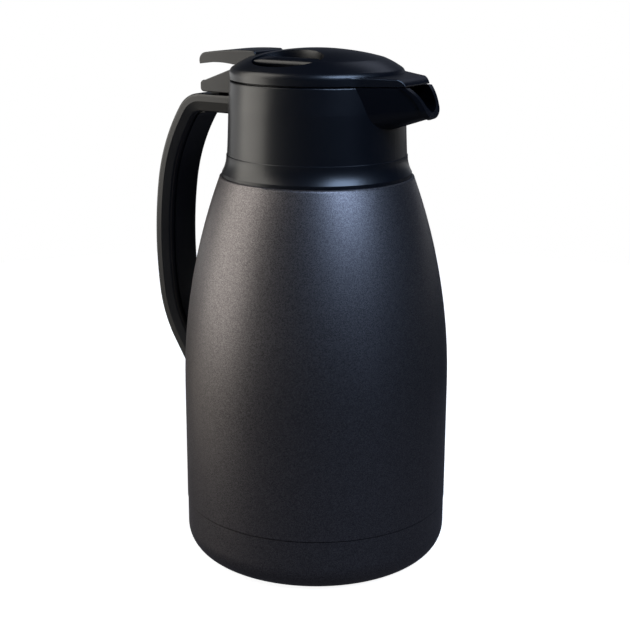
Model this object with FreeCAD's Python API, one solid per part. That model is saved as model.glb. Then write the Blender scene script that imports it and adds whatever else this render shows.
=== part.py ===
"""Thermal jug with a hinged lid, a thumb lever and two squeeze releases.

Millimetres. +Z is up, +X points to the spout, the handle is at -X, and the origin is the
centre of the base, on the table. Each function makes one piece of the jug.
"""
import FreeCAD, Part
import math
import os

V = FreeCAD.Vector

# Body of the jug
body_radius = 75.0
side_top = 100.0
shoulder_height = 218.6
shoulder_round = 1.2
shell_wall = 0.8
cap_height = 31.7
cap_corner_radius = 15.0
cap_step = 0.25
cap_joggle = 1.6
cap_seam = 0.5
pad_margin = 9.75
pad_radius = body_radius - cap_step - cap_corner_radius - pad_margin
pad_thickness = 2.0
pad_proud = 0.4
pad_fit = 0.3
base_plate_height = 12.0
base_plate_crown = 2.4

# Radii of the neck, from the waist of the collar inwards and outwards
collar_waist_radius = 48.5
collar_foot_step = 3.9
collar_foot_radius = collar_waist_radius + collar_foot_step
collar_step_proud = 1.4
collar_step_radius = collar_waist_radius + collar_step_proud
shoulder_land = 1.56
shoulder_radius = collar_foot_radius + shoulder_land
lid_step = 0.9
lid_radius = collar_waist_radius - lid_step
chamber_wall = 2.9
chamber_radius = collar_waist_radius - chamber_wall
neck_step = 2.6
neck_radius = chamber_radius - neck_step
mouth_lip = 5.5
mouth_radius = neck_radius - mouth_lip
throat_step = 0.3
throat_radius = mouth_radius - throat_step

# Inner bottle and steel mouth
vacuum_gap = 10.1
bottle_wall = 0.6
bottle_radius = body_radius - shell_wall - vacuum_gap - bottle_wall
bottle_floor = 27.0
bottle_corner_radius = 14.0
bottle_shoulder_drop = 13.6
bottle_shoulder_height = shoulder_height - bottle_shoulder_drop
bottle_neck_rise = 4.4
bottle_neck_start = shoulder_height + bottle_neck_rise
steel_neck_height = 27.4
mouth_height = shoulder_height + steel_neck_height
neck_root_round = 1.6
getter_radius = 6.0
getter_thickness = 2.4
getter_offset = 20.0

# Neck collar and spout
seat_gap = 0.1
collar_height = 52.0
seam_height = shoulder_height + collar_height
lid_gap = 0.6
side_gap = 0.3
collar_edge_round = 0.8
collar_foot_straight = 1.8
collar_step_height = 11.3
collar_step_depth = 0.4
collar_waist_drop = 14.6
collar_waist_height = seam_height - collar_waist_drop
gasket_thickness = 1.2
flange_thickness = 2.4
collar_fit = 0.2
chamber_flare = 0.8
chamber_flare_height = 5.0
spout_root_x = 38.0
spout_root_half_width = 26.9
spout_root_depth = 27.2
spout_tip_x = 75.0
spout_tip_half_width = 6.4
spout_tip_depth = 14.9
spout_wall = 2.3
spout_floor = 2.8
spout_cheek_share = 0.86
spout_bend_share = 0.42
spout_belly_share = 0.62
spout_belly_height_share = 0.12
spout_front_top_x = 62.1
spout_front_mid_x = 68.6
spout_front_mid_depth = 6.7
spout_front_low_x = 72.2
spout_front_low_depth = 17.2
lip_width = 2.6
lip_proud = 0.8

# Handle
grip_half_width = 13.7
grip_thickness = 10.4
grip_edge_round = 1.6
grip_side_face = 4.4
grip_inner_half_width = 12.2
grip_inner_round = 1.8
arm_drop = 10.8
arm_height = seam_height - arm_drop
arm_corner_step = 4.1
arm_corner_x = arm_corner_step - body_radius
grip_bend_radii = (17.6, 108.3, 240.0, 74.5)
grip_bend_angles = (56.0, 25.4, 15.7, 24.9)
grip_run_out = 40.0
cover_half_width = 8.6
cover_depth = 2.2
cover_proud = 0.7
cover_fit = 0.15
handle_body_gap = 0.2
bracket_half_width = 7.0
bracket_half_height = 5.4
bracket_thickness = 4.2
bracket_reach = body_radius + bracket_thickness
bracket_fit = 0.3
foot_screw_rise = 4.07
upper_screw_drop = 5.2
upper_screw_height = arm_height - upper_screw_drop
upper_screw_spread = 7.0

# Hinge of the lid
hinge_setback = 17.8
hinge_x = -lid_radius - hinge_setback
hinge_rise = 5.7
hinge_z = arm_height + hinge_rise
hinge_pin_radius = 1.25
hinge_pin_reach = 11.0
pin_fit = 0.05
press_gap = 0.02
lug_radius = 2.7
lug_half_width = 6.0
lug_side_gap = 0.4
block_arm_gap = 1.2
block_bottom = arm_height + block_arm_gap
block_tail_reach = 4.3
block_tail_x = hinge_x - block_tail_reach
block_lid_gap = 1.2
block_front_x = -lid_radius - block_lid_gap
block_top_rise = 4.8
block_top = seam_height + block_top_rise
block_tail_high = hinge_z + seat_gap
block_tail_round = 2.2
block_brow = (2.9, 1.9)
block_brow_mid = (0.75, 1.25)
block_edge_round = 0.6
block_fork_reach = 5.0
block_screw_rise = 1.8
block_screw_height = seam_height + block_screw_rise
block_screw_spread = 8.0
block_screw_length = 5.0
block_screw_head_radius = 1.6

# Lid cover
lid_wall = 2.0
lid_edge_round = 0.4
rim_rise = 3.4
rim_height = seam_height + rim_rise
rim_round_rise = 3.6
rim_round_z = rim_height + rim_round_rise
rim_round_depth = 2.2
rim_round_x = lid_radius - rim_round_depth
rim_round_mid = (0.6, 2.2)
haunch_rise = 4.7
haunch_width = 8.9
haunch_bulge = (0.15, 0.25)
crease_radius = rim_round_x - haunch_width
crease_height = rim_round_z + haunch_rise
crown_rise = 4.9
lid_top = crease_height + crown_rise
dome_share = 0.5
dome_fall_share = 0.25
tab_root_x = 36.0
tab_front_x = 62.0
tab_ridge_setback = 3.8
tab_ridge_rise = 3.8
tab_fall = 1.0
tab_brow_mid = (2.4, 1.3)
tab_front_face = 0.7
tab_front_half_width = 12.9
tab_side_x = 42.3
tab_side_half_width = 24.5
tab_blend_radius = 14.0
tab_edge_round = 0.7
well_half_length = 20.5
well_half_width = 15.5
well_offset = 26.5
well_wall = 1.6
well_floor_rise = 2.5
well_floor = seam_height + well_floor_rise
boss_radius = 3.2
front_boss = (31.0, 20.0)
rear_boss = (-30.0, 25.0)

# Lid base and stopper
base_fit = 0.5
base_radius = chamber_radius - base_fit
base_wall = 1.8
base_depth = 8.1
base_bottom = seam_height - base_depth
base_floor = 2.0
tower_radius = 8.4
tower_bore = 6.3
tower_height = 8.9
tower_top = base_bottom + tower_height
tower_roof = 1.2
mech_x = -1.5
seal_rise = 0.6
seal_height = base_bottom + seal_rise
seal_width = 1.2
seal_depth = 0.7
seal_proud = 0.3
seal_fit = 0.1
rail_thickness = 1.2
rail_height = 3.4
rail_length = 18.0
rail_setback = 4.1
rail_end = base_radius - rail_setback
stopper_room = 2.8
stopper_radius = throat_radius - stopper_room
stopper_wall = 1.8
stopper_dip = 0.4
stopper_bottom = mouth_height - stopper_dip
stopper_height = 6.7
stopper_rim_top = stopper_bottom + stopper_height
stopper_flange = 1.4
stopper_edge = 1.2
stopper_flange_radius = throat_radius + stopper_edge
stopper_foot_radius = throat_radius - stopper_edge
plug_gasket_clearance = 0.5
valve_bore = 9.0
valve_lip = 1.4
valve_seat_rise = 6.0
valve_seat_height = stopper_bottom + valve_seat_rise
post_radius = 3.0
post_spread = 12.0

# Pour lever and valve, with the outline of the paddle measured from the pivot
lever_pivot_setback = 7.6
lever_pivot_x = lever_pivot_setback - lid_radius
lever_pivot_rise = 5.4
lever_pivot_z = seam_height + lever_pivot_rise
lever_pin_radius = 1.5
lever_pin_reach = 17.2
lever_hub_radius = 3.4
lever_half_width = 13.7
lever_side_gap = 0.3
lever_tail = (-30.0, 0.4)
lever_tail_top = (-26.4, 6.9)
lever_top_mid = (-10.0, 8.7)
lever_top_front = (6.6, 9.1)
lever_front = (8.5, 7.6)
lever_heel = (-6.6, 1.0)
lever_arch = (-18.4, 1.7)
lever_edge_round = 0.8
lever_arm_half_width = 4.5
lever_arm_depth = 3.2
fork_half_gap = 2.9
fork_prong = 2.2
fork_nose_radius = 1.5
fork_length = 6.5
slot_front_gap = 0.5
slot_floor_drop = 1.0
slot_floor = lever_pivot_z - slot_floor_drop
cheek_thickness = 3.6
cheek_half_length = 4.0
cheek_drop = 3.8
valve_seat_gap = 0.1
valve_disc_radius = 12.0
valve_disc_thickness = 2.0
stem_radius = 2.4
stem_flange_radius = 8.0
stem_flange_thickness = 1.2
stem_foot_radius = 3.6
stem_foot_thickness = 1.5
stem_fit = 0.15
stem_head_radius = 4.6
stem_head_thickness = 1.7
fork_gap = 0.3
spring_gap = 0.1
valve_spring_radius = 4.6
valve_spring_wire = 0.45
valve_spring_turns = 5.0

# Release pads and latch tongues, with the pad's section measured from its line and its foot
pad_travel = 3.5
pad_line = 25.0
pad_floor_gap = 2.1
pad_bottom = well_floor + pad_floor_gap
pad_top_inner = (4.4, 6.6)
pad_top_mid = (0.4, 8.4)
pad_top_outer = (-4.4, 7.2)
pad_bulge = (-5.5, 5.6)
pad_undercut = (-3.9, 3.2)
pad_inner_foot = 4.2
pad_outer_foot = -3.2
pad_clearance = 0.7
pad_sink = 0.8
web_half_length = 6.6
web_outer = 26.5
web_inner = 23.0
web_gap = 0.6
slide_gap = 0.4
slide_bottom = base_bottom + base_floor + slide_gap
slide_thickness = 3.0
slide_top = slide_bottom + slide_thickness
slide_half_length = 7.0
slide_inner = 16.2
tongue_half_length = 4.0
tongue_rise = 1.7
tongue_bottom = slide_bottom + tongue_rise
tongue_thickness = 1.4
tongue_top = tongue_bottom + tongue_thickness
tongue_hold = 1.4
tongue_reach = chamber_radius + tongue_hold
tongue_gap = 0.35
pocket_gap = 0.5
release_spring_radius = 1.4
release_spring_wire = 0.3
release_spring_turns = 6.0

# Screws
screw_radius = 1.4
screw_head_radius = 2.7
screw_head_height = 1.5
screw_clearance = 0.2
screw_depth = 8.0
screw_bore_gap = 0.05

# Cuts run past the faces that they open by this much
overrun = 3.0
full_turn = 360
half_turn = 180


def at(x, z):
    """A point of a side outline, in the plane Y = 0."""
    return V(x, 0, z)


def outline(start, *steps):
    """A closed wire: each step is a point, a pair (middle, end) for an arc, or a list for a flat curve."""
    edges = []
    here = start
    for step in steps:
        if isinstance(step, tuple):
            middle, end = step
            edges.append(Part.Arc(here, middle, end).toShape())
        elif isinstance(step, list):
            middle, end = step
            edges.append(Part.Arc(here, middle, end).toBSpline().toShape())
        else:
            end = step
            edges.append(Part.LineSegment(here, end).toShape())
        here = end
    if here.distanceToPoint(start) > 0:
        edges.append(Part.LineSegment(here, start).toShape())
    return Part.Wire(edges)


def turned(wire, x=0):
    """The solid that a side outline sweeps about a vertical axis at x."""
    solid = Part.Face(wire).revolve(V(0, 0, 0), V(0, 0, 1), full_turn)
    solid.translate(V(x, 0, 0))
    return solid


def slab(wire, half_width):
    """A side outline given a width across the jug."""
    face = Part.Face(wire)
    face.translate(V(0, -half_width, 0))
    return face.extrude(V(0, 2 * half_width, 0))


def post(radius, low, high, x=0, y=0):
    """An upright cylinder."""
    return Part.makeCylinder(radius, high - low, V(x, y, low))


def cross_pin(radius, y_low, y_high, x, z):
    """A cylinder that runs across the jug."""
    return Part.makeCylinder(radius, y_high - y_low, V(x, y_low, z), V(0, 1, 0))


def bar(radius, x_low, x_high, y, z):
    """A cylinder that runs along the jug."""
    return Part.makeCylinder(radius, x_high - x_low, V(x_low, y, z), V(1, 0, 0))


def block(x_low, x_high, y_low, y_high, z_low, z_high):
    """A box from its limits."""
    return Part.makeBox(x_high - x_low, y_high - y_low, z_high - z_low, V(x_low, y_low, z_low))


def mirrored(shape):
    """The same piece on the other side of the jug."""
    return shape.mirror(V(0, 0, 0), V(0, 1, 0))


def both_sides(shape):
    """A piece with its mirror image, as a list."""
    return [shape, mirrored(shape)]


def joined(first, *others):
    """One solid from shapes that overlap."""
    return first.fuse(list(others)).removeSplitter()


def side_radius(height, depth=0):
    """Radius of the side at a height, at a depth below the paint: upright, then an arc to the shoulder."""
    if height <= side_top:
        return body_radius - depth
    fall = body_radius - shoulder_radius
    rise = shoulder_height - shoulder_round - side_top
    curve_radius = (fall ** 2 + rise ** 2) / (2 * fall)
    reach = curve_radius - depth
    return body_radius - curve_radius + math.sqrt(reach ** 2 - (height - side_top) ** 2)


def side_point(height, depth=0):
    """A point of the curved side."""
    return at(side_radius(height, depth), height)


def middle(a, b):
    """Half way between two lengths."""
    return (a + b) / 2


def corner(centre_x, centre_z, radius, angle):
    """A point of a round corner, at an angle in degrees."""
    turn = math.radians(angle)
    return at(centre_x + radius * math.cos(turn), centre_z + radius * math.sin(turn))


def body_form(gap):
    """Everything inside the painted side, grown by a gap."""
    edge_z = shoulder_height - shoulder_round
    wire = outline(
        at(0, 0),
        at(body_radius + gap, 0),
        at(body_radius + gap, side_top),
        (side_point(middle(side_top, edge_z), -gap), side_point(edge_z, -gap)),
        at(0, edge_z),
    )
    return turned(wire)


def outer_shell():
    """Painted steel wall with its shoulder and neck."""
    edge_z = shoulder_height - shoulder_round
    edge_r = side_radius(edge_z)
    foot_r = body_radius - cap_joggle
    joggle_z = cap_height + cap_seam
    root_x = neck_radius + neck_root_round
    root_z = shoulder_height + neck_root_round
    neck_end = mouth_height - shell_wall
    inner_neck = neck_radius - shell_wall
    under = shoulder_height - shell_wall
    inner_root_r = neck_root_round + shell_wall
    wire = outline(
        at(foot_r, base_plate_height),
        at(foot_r, cap_height),
        at(body_radius, joggle_z),
        at(body_radius, side_top),
        (side_point(middle(side_top, edge_z)), at(edge_r, edge_z)),
        (corner(edge_r - shoulder_round, edge_z, shoulder_round, 45),
         at(edge_r - shoulder_round, shoulder_height)),
        at(root_x, shoulder_height),
        (corner(root_x, root_z, neck_root_round, 225), at(neck_radius, root_z)),
        at(neck_radius, neck_end),
        at(inner_neck, neck_end),
        at(inner_neck, root_z),
        (corner(root_x, root_z, inner_root_r, 225), at(root_x, under)),
        at(side_radius(under, shell_wall) - shell_wall, under),
        side_point(under - shell_wall, shell_wall),
        (side_point(middle(side_top, under), shell_wall), at(body_radius - shell_wall, side_top)),
        at(body_radius - shell_wall, joggle_z + shell_wall),
        at(foot_r - shell_wall, joggle_z),
        at(foot_r - shell_wall, base_plate_height),
    )
    return turned(wire)


def inner_bottle():
    """Steel vessel that holds the drink, with the rolled mouth."""
    depth = body_radius - bottle_radius - bottle_wall
    side_middle = middle(side_top, bottle_shoulder_height)
    outside = bottle_radius + bottle_wall
    corner_x = bottle_radius - bottle_corner_radius
    corner_z = bottle_floor + bottle_corner_radius
    corner_outer = bottle_corner_radius + bottle_wall
    shoulder_r = side_radius(bottle_shoulder_height, depth)
    inner_shoulder_r = side_radius(bottle_shoulder_height, depth + bottle_wall)
    bend_x = middle(shoulder_r, mouth_radius) - bottle_wall
    bend_z = middle(bottle_shoulder_height, bottle_neck_start)
    neck_outer = mouth_radius + bottle_wall
    lip_z = mouth_height - shell_wall
    wire = outline(
        at(0, bottle_floor - bottle_wall),
        at(corner_x, bottle_floor - bottle_wall),
        (corner(corner_x, corner_z, corner_outer, -45), at(outside, corner_z)),
        at(outside, side_top),
        (side_point(side_middle, depth), at(shoulder_r, bottle_shoulder_height)),
        (at(bend_x, bend_z), at(neck_outer, bottle_neck_start)),
        at(neck_outer, lip_z),
        at(neck_radius, lip_z),
        at(neck_radius, mouth_height),
        at(mouth_radius, mouth_height),
        at(mouth_radius, bottle_neck_start),
        (at(bend_x - bottle_wall, bend_z), at(inner_shoulder_r, bottle_shoulder_height)),
        (side_point(side_middle, depth + bottle_wall), at(bottle_radius, side_top)),
        at(bottle_radius, corner_z),
        (corner(corner_x, corner_z, bottle_corner_radius, -45), at(corner_x, bottle_floor)),
        at(0, bottle_floor),
    )
    return turned(wire)


def vacuum_base_plate():
    """Crowned steel disc welded into the foot of the outer shell."""
    rim = body_radius - cap_joggle - shell_wall
    land = rim - cap_corner_radius
    top = base_plate_height + base_plate_crown
    wire = outline(
        at(0, top),
        at(land, top),
        at(land + base_plate_crown, base_plate_height),
        at(rim, base_plate_height),
        at(rim, base_plate_height + shell_wall),
        at(land + base_plate_crown + shell_wall, base_plate_height + shell_wall),
        at(land + shell_wall, top + shell_wall),
        at(0, top + shell_wall),
    )
    return turned(wire)


def getter():
    """Pill under the floor of the inner bottle that holds the vacuum."""
    top = bottle_floor - bottle_wall
    return post(getter_radius, top - getter_thickness, top, getter_offset)


def base_cap():
    """Painted cup under the seam, with a recess for the pad."""
    side = body_radius - cap_step
    inside = side - shell_wall
    centre_x = side - cap_corner_radius
    centre_z = pad_proud + cap_corner_radius
    inner_corner = cap_corner_radius - shell_wall
    recess = pad_radius + pad_fit
    recess_top = pad_thickness
    wire = outline(
        at(side, cap_height),
        at(side, centre_z),
        (corner(centre_x, centre_z, cap_corner_radius, -45), at(centre_x, pad_proud)),
        at(recess, pad_proud),
        at(recess, recess_top),
        at(0, recess_top),
        at(0, recess_top + shell_wall),
        at(recess + shell_wall, recess_top + shell_wall),
        at(recess + shell_wall, pad_proud + shell_wall),
        at(centre_x, pad_proud + shell_wall),
        (corner(centre_x, centre_z, inner_corner, -45), at(inside, centre_z)),
        at(inside, cap_height),
    )
    return turned(wire)


def base_pad():
    """Non-slip disc that the jug stands on."""
    return post(pad_radius, 0, pad_thickness)


def u_section(x, half_width, bottom, top):
    """Upright cross-section of the spout: cheeks above a round belly."""
    depth = top - bottom
    cheek = half_width * spout_cheek_share
    bend = bottom + depth * spout_bend_share
    belly = half_width * spout_belly_share
    belly_z = bottom + depth * spout_belly_height_share
    right = V(x, -half_width, top)
    right_bend = V(x, -cheek, bend)
    left_bend = V(x, cheek, bend)
    left = V(x, half_width, top)
    keel = V(x, 0, bottom)
    curve = Part.BSplineCurve()
    curve.interpolate([right_bend, V(x, -belly, belly_z), keel, V(x, belly, belly_z), left_bend])
    edges = [
        Part.LineSegment(right, right_bend).toShape(),
        curve.toShape(),
        Part.LineSegment(left_bend, left).toShape(),
        Part.LineSegment(left, right).toShape(),
    ]
    return Part.Wire(edges)


def spout_trough(inset, floor, top, front_shift=0):
    """Tapering trough of the spout, drawn in by a wall and cut to the curved front."""
    low = seam_height + floor
    root = u_section(spout_root_x, spout_root_half_width - inset, low - spout_root_depth, top)
    tip = u_section(spout_tip_x, spout_tip_half_width - inset, low - spout_tip_depth, top)
    trough = Part.makeLoft([root, tip], True, True)
    return trough.common(spout_front(front_shift))


def spout_front(shift=0):
    """Everything behind the curved front edge of the spout."""
    bend = seam_height - spout_front_low_depth
    keel = seam_height - spout_root_depth - overrun
    high = seam_height + overrun
    back = spout_root_x - overrun
    wire = outline(
        at(back, keel),
        at(spout_front_low_x - shift, keel),
        at(spout_front_low_x - shift, bend),
        (at(spout_front_mid_x - shift, seam_height - spout_front_mid_depth),
         at(spout_front_top_x - shift, seam_height)),
        at(spout_front_top_x - shift, high),
        at(back, high),
    )
    return slab(wire, body_radius)


def collar_outside():
    """Outer form of the neck collar, as a full round."""
    foot = shoulder_height + seat_gap
    step_z = foot + collar_step_height
    above = collar_step_radius - collar_step_depth
    top = seam_height - lid_gap
    edge = top - collar_edge_round
    wire = outline(
        at(0, foot),
        at(collar_foot_radius, foot),
        at(collar_foot_radius, foot + collar_foot_straight),
        (at(collar_step_radius + collar_step_depth * 2, middle(foot, step_z)),
         at(collar_step_radius, step_z)),
        at(above, step_z + collar_step_depth),
        (at(collar_waist_radius + collar_step_depth, middle(step_z, collar_waist_height)),
         at(collar_waist_radius, collar_waist_height)),
        at(lid_radius, edge),
        (corner(lid_radius - collar_edge_round, edge, collar_edge_round, 45),
         at(lid_radius - collar_edge_round, top)),
        at(0, top),
    )
    return turned(wire)


def flange_low():
    """Underside of the collar's inner flange, on the mouth gasket."""
    return mouth_height + gasket_thickness


def chamber_floor():
    """Floor of the pouring chamber in the collar."""
    return flange_low() + flange_thickness


def neck_collar():
    """Moulded collar with the pouring chamber, the spout and the latch pockets."""
    top = seam_height - lid_gap
    low = flange_low()
    floor = chamber_floor()
    spout = spout_trough(0, 0, top)
    lip_zone = spout_trough(-lip_proud, -lip_proud, top).cut(spout_front(lip_width))
    body = joined(collar_outside(), spout, lip_zone)
    bore = post(neck_radius + collar_fit, shoulder_height - overrun, low)
    seat = Part.makeCone(throat_radius, throat_radius + flange_thickness, flange_thickness, V(0, 0, low))
    throat = post(throat_radius, low - overrun, low + overrun)
    chamber = post(chamber_radius, floor, seam_height + overrun)
    relief = post(neck_radius + neck_root_round + collar_fit, shoulder_height - overrun,
                  shoulder_height + neck_root_round + collar_fit)
    flare = Part.makeCone(chamber_radius, chamber_radius + chamber_flare, chamber_flare_height,
                          V(0, 0, top - chamber_flare_height))
    channel = spout_trough(spout_wall, spout_floor, seam_height + overrun, -overrun)
    tools = [bore, relief, seat, throat, chamber, flare, channel]
    tools += both_sides(latch_pocket())
    tools += both_sides(upper_screw_hole())
    return body.cut(tools).removeSplitter()


def latch_pocket():
    """Pocket in the collar wall for the tongue on the right."""
    half = tongue_half_length + pocket_gap * 2
    return block(mech_x - half, mech_x + half, -tongue_reach - pocket_gap, -chamber_radius + overrun,
                 tongue_bottom - pocket_gap, tongue_top + tongue_gap)


def upper_screw_hole():
    """Clearance hole for the right screw of the arm."""
    return bar(screw_radius + screw_clearance, -collar_foot_radius, -stopper_flange_radius,
               -upper_screw_spread, upper_screw_height)


def mouth_gasket():
    """Flat ring between the collar and the steel mouth."""
    outer = post(neck_radius - seat_gap, mouth_height, flange_low())
    return outer.cut(post(throat_radius + gasket_thickness, mouth_height - overrun, flange_low() + overrun))


def softened(before, tip, after, radius):
    """A round corner between two straight lines: where it starts, its middle and where it ends."""
    back = (before - tip).normalize()
    ahead = (after - tip).normalize()
    half = back.getAngle(ahead) / 2
    reach = radius / math.tan(half)
    centre = tip + (back + ahead).normalize() * (radius / math.sin(half))
    toward = (tip - centre).normalize()
    return tip + back * reach, centre + toward * radius, tip + ahead * reach


def grip_section():
    """Cross-section of the handle at the collar end: a flat back, upright sides and a rounded inside."""
    x = -collar_waist_radius
    low = arm_height - grip_thickness
    centre_top = V(x, 0, arm_height)
    top = V(x, -grip_half_width, arm_height)
    side = V(x, -grip_half_width, arm_height - grip_side_face)
    inner = V(x, -grip_inner_half_width, low)
    centre_low = V(x, 0, low)
    right = list(softened(centre_top, top, side, grip_edge_round)) + [side]
    right += list(softened(side, inner, centre_low, grip_inner_round))
    left = [V(x, -p.y, p.z) for p in right]
    edges = [Part.LineSegment(left[0], right[0]).toShape()]
    for half in (right, left):
        edges.append(Part.Arc(half[0], half[1], half[2]).toShape())
        edges.append(Part.LineSegment(half[2], half[3]).toShape())
        edges.append(Part.LineSegment(half[3], half[4]).toShape())
        edges.append(Part.Arc(half[4], half[5], half[6]).toShape())
    edges.append(Part.LineSegment(right[6], left[6]).toShape())
    return Part.Wire(Part.__sortEdges__(edges))


def grip_line():
    """Outer line of the handle down to its straight leg: the edges, the last point and the heading there."""
    here = at(arm_corner_x, arm_height)
    heading = math.pi
    edges = [Part.LineSegment(at(-collar_waist_radius, arm_height), here).toShape()]
    for radius, turn in zip(grip_bend_radii, grip_bend_angles):
        angle = math.radians(turn)
        centre = at(here.x - radius * math.sin(heading), here.z + radius * math.cos(heading))
        half = heading + angle / 2
        whole = heading + angle
        mid = at(centre.x + radius * math.sin(half), centre.z - radius * math.cos(half))
        end = at(centre.x + radius * math.sin(whole), centre.z - radius * math.cos(whole))
        edges.append(Part.Arc(here, mid, end).toShape())
        here = end
        heading = whole
    return edges, here, heading


def grip_path():
    """The whole outer line, with the straight leg run into the body."""
    edges, here, heading = grip_line()
    end = at(here.x + grip_run_out * math.cos(heading), here.z + grip_run_out * math.sin(heading))
    edges.append(Part.LineSegment(here, end).toShape())
    return Part.Wire(edges)


def lower_screw_height():
    """Height of the lower screw: where the outer line of the leg comes level with the bracket's face."""
    edges, here, heading = grip_line()
    return here.z + (-bracket_reach - here.x) * math.tan(heading) + foot_screw_rise


def along_grip(section):
    """A section swept along the handle."""
    return grip_path().makePipeShell([section], True, False)


def grip_trim():
    """The room that the handle leaves for the body and the collar."""
    neck = post(collar_waist_radius + side_gap, side_top, seam_height)
    return [body_form(handle_body_gap), neck]


def bracket_room(gap):
    """Outer limits of the steel bracket, grown by a gap."""
    level = lower_screw_height()
    half_width = bracket_half_width + gap
    half_height = bracket_half_height + gap
    return block(-bracket_reach - gap, -shoulder_radius, -half_width, half_width, level - half_height,
                 level + half_height)


def cover_strip(half_width, start):
    """Strip along the inside of the grip, below the arm's bend."""
    rectangle = Part.makePolygon([
        V(-collar_waist_radius, -half_width, arm_height - start),
        V(-collar_waist_radius, half_width, arm_height - start),
        V(-collar_waist_radius, half_width, arm_height - grip_thickness - cover_proud),
        V(-collar_waist_radius, -half_width, arm_height - grip_thickness - cover_proud),
        V(-collar_waist_radius, -half_width, arm_height - start),
    ])
    strip = along_grip(rectangle)
    arm = block(arm_corner_x, 0, -body_radius, body_radius, arm_height - 2 * grip_thickness, seam_height)
    return strip.cut([arm, bracket_room(bracket_fit)] + grip_trim())


def handle():
    """Outer moulding of the handle, with the arm and the hinge lug."""
    body = along_grip(grip_section()).cut(grip_trim())
    groove = cover_strip(cover_half_width + cover_fit, grip_thickness - cover_depth - cover_fit)
    lug_root = arm_height - lug_radius
    lug = block(hinge_x - lug_radius, hinge_x + lug_radius, -lug_half_width, lug_half_width, lug_root,
                hinge_z)
    knuckle = cross_pin(lug_radius, -lug_half_width, lug_half_width, hinge_x, hinge_z)
    eye = cross_pin(hinge_pin_radius + pin_fit, -grip_half_width, grip_half_width, hinge_x, hinge_z)
    whole = joined(body, lug, knuckle)
    tools = [groove, eye, bracket_room(bracket_fit), lower_screw_hole()]
    for y in (-upper_screw_spread, upper_screw_spread):
        tools.append(bar(screw_radius + screw_bore_gap, -collar_waist_radius - screw_depth - overrun,
                         -collar_waist_radius + overrun, y, upper_screw_height))
    return whole.cut(tools)


def handle_inner_cover():
    """Strip that closes the inside of the grip."""
    return cover_strip(cover_half_width, grip_thickness - cover_depth)


def handle_bracket():
    """Steel stirrup welded to the shell behind the foot of the handle."""
    bore = bar(screw_radius + screw_bore_gap, -body_radius - grip_run_out, 0, 0, lower_screw_height())
    return bracket_room(0).cut([body_form(seat_gap / 2), bore])


def lower_screw_face():
    """Where the foot's outer face lies at the lower screw."""
    probe = bar(screw_radius, -2 * body_radius, 0, 0, lower_screw_height())
    return along_grip(grip_section()).common(probe).BoundBox.XMin


def lower_screw_hole():
    """Counterbored hole in the foot of the handle."""
    seat = lower_screw_face() + screw_head_height + screw_clearance
    hole = bar(screw_radius + screw_clearance, seat - overrun, -body_radius, 0, lower_screw_height())
    head = bar(screw_head_radius + screw_clearance, seat - grip_thickness, seat, 0, lower_screw_height())
    return joined(hole, head)


def handle_lower_screw():
    """Screw through the foot of the handle into the bracket."""
    seat = lower_screw_face() + screw_head_height + screw_clearance
    shank = bar(screw_radius, seat - screw_head_height, -body_radius - side_gap, 0, lower_screw_height())
    head = bar(screw_head_radius, seat - screw_head_height, seat, 0, lower_screw_height())
    return joined(shank, head)


def handle_upper_screws():
    """Two screws through the collar wall into the arm."""
    screws = []
    for y in (-upper_screw_spread, upper_screw_spread):
        seat = -math.sqrt(chamber_radius ** 2 - upper_screw_spread ** 2)
        inner = -math.sqrt(chamber_radius ** 2 - (abs(y) + screw_head_radius) ** 2)
        shank = bar(screw_radius, seat - screw_depth, inner, y, upper_screw_height)
        head = bar(screw_head_radius, inner, inner + screw_head_height, y, upper_screw_height)
        screws.append(joined(shank, head))
    return Part.makeCompound(screws)


def crown_bend():
    """The point of the crown that its flat curve passes, half way out."""
    return at(crease_radius * dome_share, lid_top - crown_rise * dome_fall_share)


def lowered(point, amount):
    """A point moved down."""
    return at(point.x, point.z - amount)


def dome(sink=0):
    """Outer form of the lid, from the seam to the top, lowered by an amount."""
    edge = seam_height + lid_edge_round
    haunch = at(middle(rim_round_x, crease_radius) + haunch_bulge[0],
                middle(rim_round_z, crease_height) + haunch_bulge[1])
    rim_mid = at(lid_radius - rim_round_mid[0], rim_height + rim_round_mid[1])
    wire = outline(
        at(0, seam_height),
        at(lid_radius - lid_edge_round, seam_height),
        (corner(lid_radius - lid_edge_round, edge, lid_edge_round, -45), at(lid_radius, edge)),
        at(lid_radius, rim_height - sink),
        (lowered(rim_mid, sink), at(rim_round_x, rim_round_z - sink)),
        [lowered(haunch, sink), at(crease_radius, crease_height - sink)],
        [lowered(crown_bend(), sink), at(0, lid_top - sink)],
    )
    return turned(wire)


def dome_cavity():
    """Hollow of the lid cover."""
    drop = lid_wall
    wire = outline(
        at(0, seam_height - overrun),
        at(lid_radius - drop, seam_height - overrun),
        at(lid_radius - drop, rim_height),
        at(rim_round_x - drop, rim_round_z - drop),
        at(crease_radius - drop / 2, crease_height - drop),
        [lowered(crown_bend(), drop), at(0, lid_top - drop)],
    )
    return turned(wire)


def tab_blend():
    """Where the hollow blend between the tab and the round rim starts, turns and ends, seen from above."""
    run = V(tab_side_x - tab_front_x, tab_side_half_width - tab_front_half_width, 0).normalize()
    out = V(run.y, -run.x, 0)
    front = V(tab_front_x, tab_front_half_width, 0)
    offset = front + out * tab_blend_radius
    along = offset.dot(run)
    reach = lid_radius + tab_blend_radius
    step = -along - math.sqrt(along ** 2 - offset.dot(offset) + reach ** 2)
    centre = offset + run * step
    on_tab = front + run * step
    on_rim = centre * (lid_radius / reach)
    toward = (on_tab - centre).normalize() + (on_rim - centre).normalize()
    return on_tab, centre + toward.normalize() * tab_blend_radius, on_rim


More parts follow.
